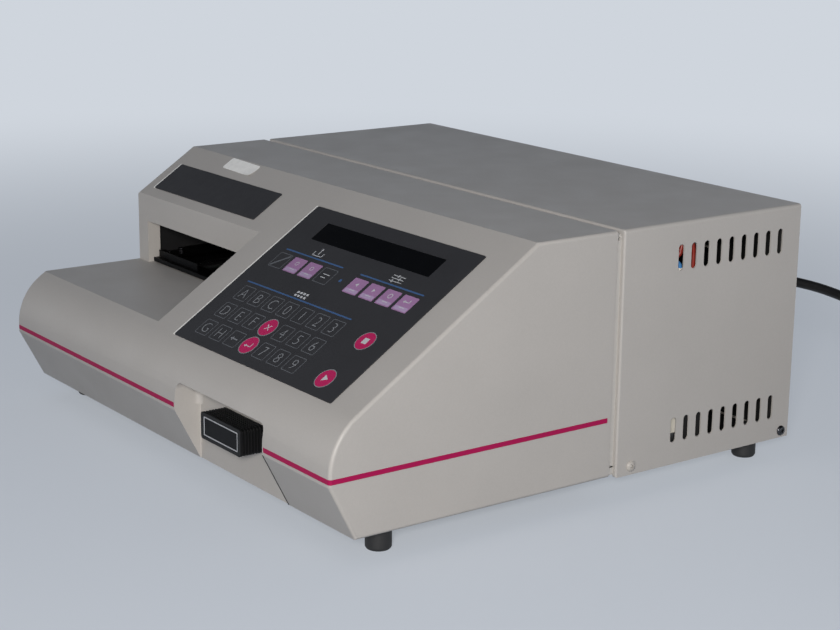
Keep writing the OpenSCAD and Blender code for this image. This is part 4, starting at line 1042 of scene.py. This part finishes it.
class READER_OT_keypad(bpy.types.Operator):
    """Print the keypad: outlined keys, filled keys, round keys, bars, figures and signs"""
    bl_idname = "reader.keypad"
    bl_label = "Keypad print"

    def execute(self, context):
        sizes = context.scene.reader_keypad
        self.films()
        # A lighter band runs along the bottom of each filled key
        print_on_slope("pale_key_bands", [pad(x, BAND_ROW, 12.6, 3.2, 0.4) for x in MAUVE_COLUMNS],
                       "band", 0.5 * PRINT_T)
        self.outlines(sizes.key / MM, sizes.line / MM)
        print_on_slope("mauve_keys", [pad(x, MAUVE_ROW, 14.4, 13.2, 0.8, 5) for x in MAUVE_COLUMNS], "mauve")
        self.round_keys(sizes.round_key / MM / 2)
        bars = [bar(11, 77, 87, 1.1), bar(97, 163, 86.6, 1.1), bar(8.5, 128, 53.4, 1.1)]
        bars.append(shifted(disc("dot", 1.3, PRINT_T, 20), 86.2, 77.2))
        print_on_slope("blue_bars", bars, "bars")
        self.legends()
        return {"FINISHED"}

    def films(self):
        """The two films, and a white strip along the left of each: a painted highlight where light catches
        that edge.
        """
        for name, node in (("keypad_film", "keypad_overlay"), ("blank_name_plate", "name_plate")):
            finish(smooth(round_edges(merged_copy(name, node), 0.12, 2, 40), 30), "film", node=node)
        # Strips on the left edges alone: painted highlight
        strips = [bar(-5.3, -2, 62, 131.8, 0.55), bar(-192.9, -190, 115, 28, 0.55)]
        piece = moved(joined("film_backing_edge", strips), ON_SLOPE)
        finish(smooth(piece, 30), "backing")

    def outlines(self, key, line):
        pattern = rounded_plate("key_outline", key, key * 0.96, PRINT_T, 1.3, line=line)
        outlines = copies(pattern, [at((x * MM, y * MM, 0)) for _, x, y in DATA_KEYS])
        outlines += [pad(x, MAUVE_ROW, 14.6, 13.4, 1.3, 5, line) for x in OUTLINED_COLUMNS]
        outlines.append(shifted(stroke(-5.2, -5.0, 5.2, 5.0, 1.6), OUTLINED_COLUMNS[0], MAUVE_ROW))
        print_on_slope("key_outlines", outlines, "outline")

    def round_keys(self, r):
        rows = (("round_keys", "magenta", r, PRINT_T, 0),
                ("round_key_rims", "legend", r + 0.25, 1.4 * PRINT_T, 0.55))
        for name, ink, radius, thickness, line in rows:
            discs = [shifted(disc(name, radius, thickness, line=line), x, y) for x, y in ROUND_KEYS]
            print_on_slope(name, discs, ink)

    def legends(self):
        marks = [(legend, x, y, 8.2) for legend, x, y in DATA_KEYS if legend != "<"]
        print_on_slope("key_figures", [glyphs("key_figures", marks, PRINT_T)], "legend")
        print_on_slope("key_signs", self.heading_signs() + self.key_signs(), "sign", 0.8 * PRINT_T)
        x, y = DATA_COLUMNS[2], DATA_ROWS[2]
        print_on_slope("key_arrow", [stroke(x - 2.6, y, x + 3, y, 0.8), arrow_head(x - 2.6, y, 1.8, 90)],
                       "legend")

    def heading_signs(self):
        """Plain signs over the bars: a sheet with an arrow out, three sliders, and a grid of keys."""
        signs = [stroke(39, 89.2, 39, 92.2), stroke(39, 89.2, 49, 89.2), stroke(49, 89.2, 49, 92.2),
                 stroke(44, 90.8, 44, 94.2), arrow_head(44, 95, 1.3)]
        for i, knob in enumerate((127, 132, 129)):
            y = 89.6 + 2.3 * i
            signs += [stroke(124, y, 136, y, 0.45), stroke(knob, y - 0.7, knob, y + 0.7, 0.9)]
        return signs + [pad(62.5 + 3.4 * column, 56 + 2.8 * row, 2.2, 1.7)
                        for column in range(4) for row in range(2)]

    def key_signs(self):
        """Signs on the filled and round keys."""
        (x, y1), (_, y2), (x_stop, y_stop), (x_go, y_go) = ROUND_KEYS
        signs = [stroke(x - 2, y1 - 2, x + 2, y1 + 2), stroke(x - 2, y1 + 2, x + 2, y1 - 2),
                 stroke(x - 2.6, y2 - 1, x + 2.6, y2 - 1), stroke(x + 2.6, y2 - 1, x + 2.6, y2 + 2),
                 arrow_head(x - 2.8, y2 - 1, 1.3, 90),
                 pad(x_stop, y_stop, 4.6, 4.6), arrow_head(x_go - 0.5, y_go, 3.0, -90)]
        for x in MAUVE_COLUMNS:
            signs.append(stroke(x - 2.4, SIGN_ROW, x + 2.4, SIGN_ROW, 0.5))
        for x, r, line in ((34.6, 1.7, 0.4), (52, 1.7, 0.4), (138.4, 2.0, 0.5)):
            signs.append(shifted(disc("sign", r, PRINT_T, 20, line), x, 78.6))
        for x, turn in ((103.4, 90), (121, -90)):
            signs.append(arrow_head(x, 78.4, 1.7, turn))
        signs += [stroke(153.6, 78.2, 158, 78.2), arrow_head(153.4, 78.2, 1.3, 90),
                  stroke(158, 78.2, 158, 80.2),
                  stroke(66.4, 78, 73.2, 78, 0.5), stroke(66.4, 75.2, 71.4, 75.2, 0.5)]
        return signs


LABEL_CORNER = Vector((19 * MM, -5 * MM, 0))
LIFT_SPAN = 9 * MM                          # the label lifts within this distance of the corner
LIFT = 0.9 * MM


class READER_OT_label(bpy.types.Operator):
    """Stick a bare asset label on the slope, with one corner starting to lift"""
    bl_idname = "reader.label"
    bl_label = "Asset label"

    def execute(self, context):
        label = rounded_plate("bare_asset_label", 39.5, 11.3, 0.12, 2)
        with Editing(label):
            bpy.ops.mesh.quads_convert_to_tris()
            bpy.ops.mesh.subdivide(number_cuts=4)
        for vertex in label.data.vertices:
            flat = Vector((vertex.co.x, vertex.co.y, 0))
            vertex.co.z += LIFT * max(0.0, 1 - (flat - LABEL_CORNER).length / LIFT_SPAN) ** 2
        smooth(moved(shifted(label, -124.3, 142.2, -1.5), ON_SLOPE), 40)
        finish(label, "paper")
        return {"FINISHED"}


# ---------------------------------------------------------------- display, cartridge and carrier

class READER_OT_window(bpy.types.Operator):
    """Model the display window and the module behind it"""
    bl_idname = "reader.window"
    bl_label = "Display window"

    def execute(self, context):
        soften_nodes([("smoked_window", "display_window", "acrylic", 0.2),
                      ("display_unit", "display_module", "board", 0.3)])
        return {"FINISHED"}


class READER_OT_cartridge(bpy.types.Operator):
    """Model the ribbed program cartridge with its bare label and light rim"""
    bl_idname = "reader.cartridge"
    bl_label = "Program cartridge"

    def execute(self, context):
        soften_nodes([("ribbed_cartridge", "program_cartridge", "abs_black", 0.28, 2, 35),
                      ("cartridge_rim", "cartridge_label_frame", "rim", 0.08, 2, 35)])
        low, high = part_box("cartridge_label_frame")
        wide, _, tall = (high - low) / MM
        field = rounded_plate("cartridge_label", wide - 1.4, tall - 1.4, 0.2, 0.4)
        middle = (low + high) / 2
        moved(field, at((middle.x, high.y, middle.z), QUARTER, "X"))
        finish(field, "label_black", body="cartridge")
        soften_nodes([("cartridge_sleeve", "cartridge_guide", "abs_black", 0.3),
                      ("edge_socket", "cartridge_socket", "socket", 0.3)])
        return {"FINISHED"}


class READER_OT_transport(bpy.types.Operator):
    """Model the plate carrier, its clip and the slide that drives it"""
    bl_idname = "reader.transport"
    bl_label = "Plate transport"

    def execute(self, context):
        soften_nodes([("anodised_carrier", "plate_carrier", "anodised_black", 0.35),
                      ("spring_clip", "plate_clip", "blackened", 0.2),
                      ("pivot_pin", "clip_pin", "blackened", 0.15),
                      ("bushed_runners", "carrier_runners", "anodised", 0.4),
                      ("transport_end_plates", "transport_plates", "anodised", 0.4),
                      ("rods", "guide_rods", "ground", 0.4),
                      ("drive_screw_bar", "lead_screw", "ground", 0.4),
                      ("flanged_bearings", "screw_bearings", "ground", 0.3),
                      ("stepping_motor", "transport_motor", "motor", 0.5),
                      ("light_gate", "home_sensor", "abs_black", 0.3),
                      # The hood's black is painted shade, which keeps the plate slot dark
                      ("light_hood", "dark_chamber", "motor", 0.3)])
        return {"FINISHED"}


class READER_OT_optics(bpy.types.Operator):
    """Model the reading head, the filter wheel and the lamp"""
    bl_idname = "reader.optics"
    bl_label = "Optics"

    def execute(self, context):
        soften_nodes([("optics_gantry", "optics_frame", "anodised", 0.4),
                      ("reading_head", "optics_head", "anodised_black", 0.3),
                      ("detector_strip", "detector_board", "board", 0.15),
                      ("baffled_tube", "light_tube", "anodised_black", 0.3),
                      ("drilled_wheel", "filter_wheel", "anodised_black", 0.3),
                      ("wheel_spindle", "wheel_shaft", "ground", 0.3),
                      ("wheel_motor", "filter_motor", "motor", 0.5),
                      ("folded_bench", "optics_bench", "zinc", 0.3),
                      ("lamp_box", "lamp_housing", "zinc", 0.4)])
        return {"FINISHED"}


# ---------------------------------------------------------------- electrics

TRANSFORMER_TOP = 80
RED_ROUTE = [                               # supply leads of the lamp, mm behind the front face
    (190, 276, TRANSFORMER_TOP), (190.5, 276.3, 88), (193, 277, 100), (196.5, 277, 114),
    (199.2, 277, 126), (200, 277, 136), (200.2, 277, 146), (200.2, 276.8, 153), (200.2, 275.2, 157.8),
    (200.2, 271.4, 159.7), (200.2, 267.6, 157.8), (200.2, 265.9, 154), (200.1, 265.4, 151.6),
    (199.2, 263.4, 149.7), (197.2, 256, 149.9), (190, 243, 151.4), (176, 229, 154), (158, 216, 153),
    (138, 204, 150), (117, 195, 145), (104, 192, 141.5), (92, 192, 141)]
BLUE_ROUTE = [
    (190, 262, TRANSFORMER_TOP), (190.5, 262.2, 88), (193, 263.5, 100), (196.5, 265, 114), (199, 266, 124),
    (200, 266, 133), (200.2, 265.8, 138.6), (200.2, 265.6, 142.2), (200, 265, 144.7), (198.8, 262, 146),
    (196.5, 255, 146), (189, 240, 146.6), (175, 225, 147), (157, 211, 146), (137, 199, 142),
    (116, 189, 136), (104, 186, 133.2), (92, 186, 133)]
SLEEVED = BLUE_ROUTE[6:8]                   # the sleeve runs between these two points
STRAP_X = 199.05                            # where the transformer's strap stands, mm from the middle


def tube(name, route, radius):
    """Smooth round tube through these points, its ends closed, as a mesh."""
    activate(curve_through(name, [from_front(p) for p in route], radius, 3, 4))
    bpy.ops.object.convert(target="MESH")
    piece = named(bpy.context.object, name)
    with Editing(piece):
        bpy.ops.mesh.remove_doubles(threshold=WELD)
        bpy.ops.mesh.normals_make_consistent(inside=False)
    return smooth(piece, 50)


class READER_OT_electrics(bpy.types.Operator):
    """Model the boards, the transformer and the pan that carries them"""
    bl_idname = "reader.electrics"
    bl_label = "Electrics and pan"

    def execute(self, context):
        soften_nodes([("folded_pan", "chassis_pan", "zinc", 0.25),
                      ("control_board", "main_board", "board", 0.15),
                      ("chip_packages", "board_chips", "abs_black", 0.25),
                      ("supply_board", "power_board", "board", 0.2),
                      ("finned_sink", "heat_sink", "anodised", 0.2),
                      ("laminated_transformer", "power_transformer", "laminated", 0.5)])
        # The lamp's two supply leads, looped up behind the side vents, and the sleeve on one of them
        finish(tube("red_supply_lead", RED_ROUTE, 1.5), "wire_red", node="red_lead")
        finish(tube("blue_supply_lead", BLUE_ROUTE, 1.5), "wire_blue", node="blue_lead")
        finish(tube("lead_sleeve", SLEEVED, 1.75), "nylon")
        self.insulation()
        self.strap()
        return {"FINISHED"}

    def strap(self):
        """White nylon strap that holds the transformer, with its screw."""
        strap = rounded_plate("transformer_strap", 27, 8, 0.8, 1.5)
        head = moved(screw("head", 2.2, 1.0, 0.6), at((-8 * MM, 0, 0.8 * MM)))
        piece = moved(joined("transformer_strap", [strap, head]), on_side(1, 266, 47, STRAP_X * MM))
        finish(soften(piece, 0.15, 1), "nylon")

    def insulation(self):
        """Black sheets where the vents look in, which make the inside read dark: painted shade. One inside
        the rear panel, cut out for its fittings, one over the pan, and one on edge.
        """
        sheet = block("panel_insulation", (71, 357, 20), (199, 357.6, 166))
        for x0, x1, z0, z1 in ((109.5, 140.5, 75.5, 133.5), (154.5, 177.5, 89.5, 120.5)):
            cut(sheet, block("hole", (x0, 350, z0), (x1, 362, z1)))
        over_pan = block("over_pan", (134, 299, 18.3), (198, 356.4, 18.8))
        guard = block("guard", (199.1, 270.8, 24), (199.5, 297, 74))
        piece = joined("panel_insulation", [sheet, over_pan, guard])
        finish(soften(piece, 0.12, 1), "fibre")


# ---------------------------------------------------------------- feet, screws and rear fittings

def on_side(side, y, z, x=SIDE_X):
    """Matrix that stands work from the XY plane on the left or right side wall."""
    return at((side * x, FRONT_Y + y * MM, z * MM), side * QUARTER, "Y")


def on_rear(x, y, z):
    """Matrix that stands work from the XY plane on a face that looks to the rear, its Y axis upwards."""
    turn = Matrix(((-1, 0, 0, 0), (0, 0, 1, 0), (0, 1, 0, 0), (0, 0, 0, 1)))
    return Matrix.Translation(from_front((x, y, z))) @ turn


PANEL_Y = 360                               # outer face of the rear panel, mm behind the front face
PANEL_SCREWS = [(x, PANEL_Y, z) for x in (-190, 190) for z in (34, 156)]
PANEL_SCREWS += [(125, 362, z) for z in (134.5, 80)]


class READER_OT_fasteners(bpy.types.Operator):
    """Model the rubber feet and the screws of the cover and the rear panel"""
    bl_idname = "reader.fasteners"
    bl_label = "Feet and screws"

    def execute(self, context):
        soften_nodes([("ringed_feet", "rubber_feet", "rubber", 0.5)])
        for name, y, z, ink in (("painted_cover_screws", 226.5, 20.2, "paint"),
                                ("steel_cover_screws", 361.5, 19.2, "dark_screw")):
            places = [on_side(side, y, z) @ Matrix.Rotation(0.4 * side, 4, "Z") for side in SIDES]
            pair = copies(screw(name, 3.5, 1.8, 4.3), places)
            finish(smooth(joined(name, pair)), ink, node="cover_screws")
        places = [on_rear(*place) @ Matrix.Rotation(0.3 * place[0], 4, "Z") for place in PANEL_SCREWS]
        screws = copies(screw("panel_screws", 3.2, 1.6, 1.5), places)
        finish(smooth(joined("panel_screws", screws)), "steel_screw")
        return {"FINISHED"}


class READER_OT_rear(bpy.types.Operator):
    """Model the rear panel with its inlet, fuse drawer, switch and data connectors"""
    bl_idname = "reader.rear"
    bl_label = "Rear fittings"

    def execute(self, context):
        soften_nodes([("steel_rear_panel", "rear_panel", "paint", 0.25),
                      ("appliance_inlet", "power_inlet", "abs_black", 0.4),
                      ("fuse_holder", "fuse_drawer", "abs_black", 0.3),
                      ("switch_frame", "switch_body", "abs_black", 0.4),
                      ("rocker_paddle", "power_rocker", "abs_black", 0.5)])
        self.rocker_marks()
        self.ports()
        return {"FINISHED"}

    def rocker_marks(self):
        """White ON and OFF signs, a stroke and a ring, on the two paddles of the rocker."""
        stroke_mark = rounded_plate("mark", 0.9, 4.6, 0.1, 0.3, 2)
        ring_mark = disc("mark", 2.3, 0.1, 28, 0.8)
        upper, lower = math.atan2(1.4, 9.6), math.atan2(3, 9.6)     # how far each paddle leans
        marks = [moved(stroke_mark, on_rear(166, 360.32, 110) @ Matrix.Rotation(upper, 4, "X")),
                 moved(ring_mark, on_rear(166, 362.62, 99.8) @ Matrix.Rotation(lower, 4, "X"))]
        finish(joined("rocker_marks", marks), "backing", body="rocker")

    def ports(self):
        """Two 25-way connectors: flange, slanted shell, insert with its sockets, and hexagon posts."""
        shells, inserts, sockets = [], [], []
        outline = [(-17.4, -4.2), (17.4, -4.2), (19, 4.2), (-19, 4.2)]
        for x in (-150, -70):
            flange = rounded_plate("flange", 53, 12.5, 1, 2)
            wall = outline_solid("shell", outline, 5)
            core = outline_solid("core", [(a * 0.965, b * 0.86) for a, b in outline], 6)
            cut(wall, moved(core, at((0, 0, 1 * MM))))
            shells += [moved(flange, on_rear(x, PANEL_Y, 100)), moved(wall, on_rear(x, PANEL_Y + 1, 100))]
            insert = outline_solid("insert", [(a * 0.96, b * 0.85) for a, b in outline], 4)
            inserts.append(moved(insert, on_rear(x, PANEL_Y + 1, 100)))
            for row, count in ((1, 13), (-1, 12)):
                for i in range(count):
                    place = on_rear(x + (i - (count - 1) / 2) * 2.76, PANEL_Y + 5, 100 + 1.42 * row)
                    sockets.append(moved(disc("socket", 0.85, 0.12, 14, 0.3), place))
            shells += [moved(self.post(), on_rear(x + side * 23.5, PANEL_Y + 3.3, 100)) for side in SIDES]
        finish(soften(joined("connector_shells", shells), 0.25), "tin", node="data_ports")
        finish(soften(joined("connector_inserts", inserts), 0.2, 1), "socket")
        finish(joined("connector_sockets", sockets), "brass")

    def post(self):
        """Hexagon post with the hole for the plug's screw."""
        bpy.ops.mesh.primitive_cylinder_add(vertices=6, radius=2.7 * MM, depth=4.6 * MM)
        post = bpy.context.object
        with Editing(post, "DESELECT") as mesh:
            select_where(post, mesh, "FACE", lambda face: face.normal.z > 0.9)
            bpy.ops.mesh.inset(thickness=1.2 * MM)
            bpy.ops.mesh.extrude_region_move(TRANSFORM_OT_translate={"value": (0, 0, -3 * MM)})
        return post


# ---------------------------------------------------------------- sidebar and main

class READER_PT_sidebar(bpy.types.Panel):
    """Lists the reader's steps"""
    bl_idname = "READER_PT_sidebar"
    bl_label = "Microplate Reader"
    bl_space_type = "VIEW_3D"
    bl_region_type = "UI"
    bl_category = "Reader"

    def draw(self, context):
        for step in STEPS:
            self.layout.operator(step.bl_idname)
        for group in ("reader_finishes", "reader_stage", "reader_cord", "reader_keypad"):
            settings = getattr(context.scene, group)
            for name in settings.bl_rna.properties.keys():
                if name not in ("rna_type", "name"):
                    self.layout.prop(settings, name)


STEPS = [READER_OT_finishes, READER_OT_stage, READER_OT_cord, READER_OT_housings, READER_OT_keypad,
         READER_OT_label, READER_OT_window, READER_OT_cartridge, READER_OT_transport, READER_OT_optics,
         READER_OT_electrics, READER_OT_fasteners, READER_OT_rear]
GROUPS = {"reader_finishes": ReaderFinishes, "reader_stage": ReaderStage, "reader_cord": ReaderCord,
          "reader_keypad": ReaderKeypad}


def register():
    for cls in [*GROUPS.values(), *STEPS, READER_PT_sidebar]:
        bpy.utils.register_class(cls)
    for name, group in GROUPS.items():
        setattr(bpy.types.Scene, name, bpy.props.PointerProperty(type=group))


def unregister():
    for name in GROUPS:
        delattr(bpy.types.Scene, name)
    for cls in [READER_PT_sidebar, *STEPS, *GROUPS.values()]:
        bpy.utils.unregister_class(cls)


def main():
    register()
    for step in STEPS:
        group, name = step.bl_idname.split(".")
        getattr(getattr(bpy.ops, group), name)()


if __name__ == "__main__":
    main()
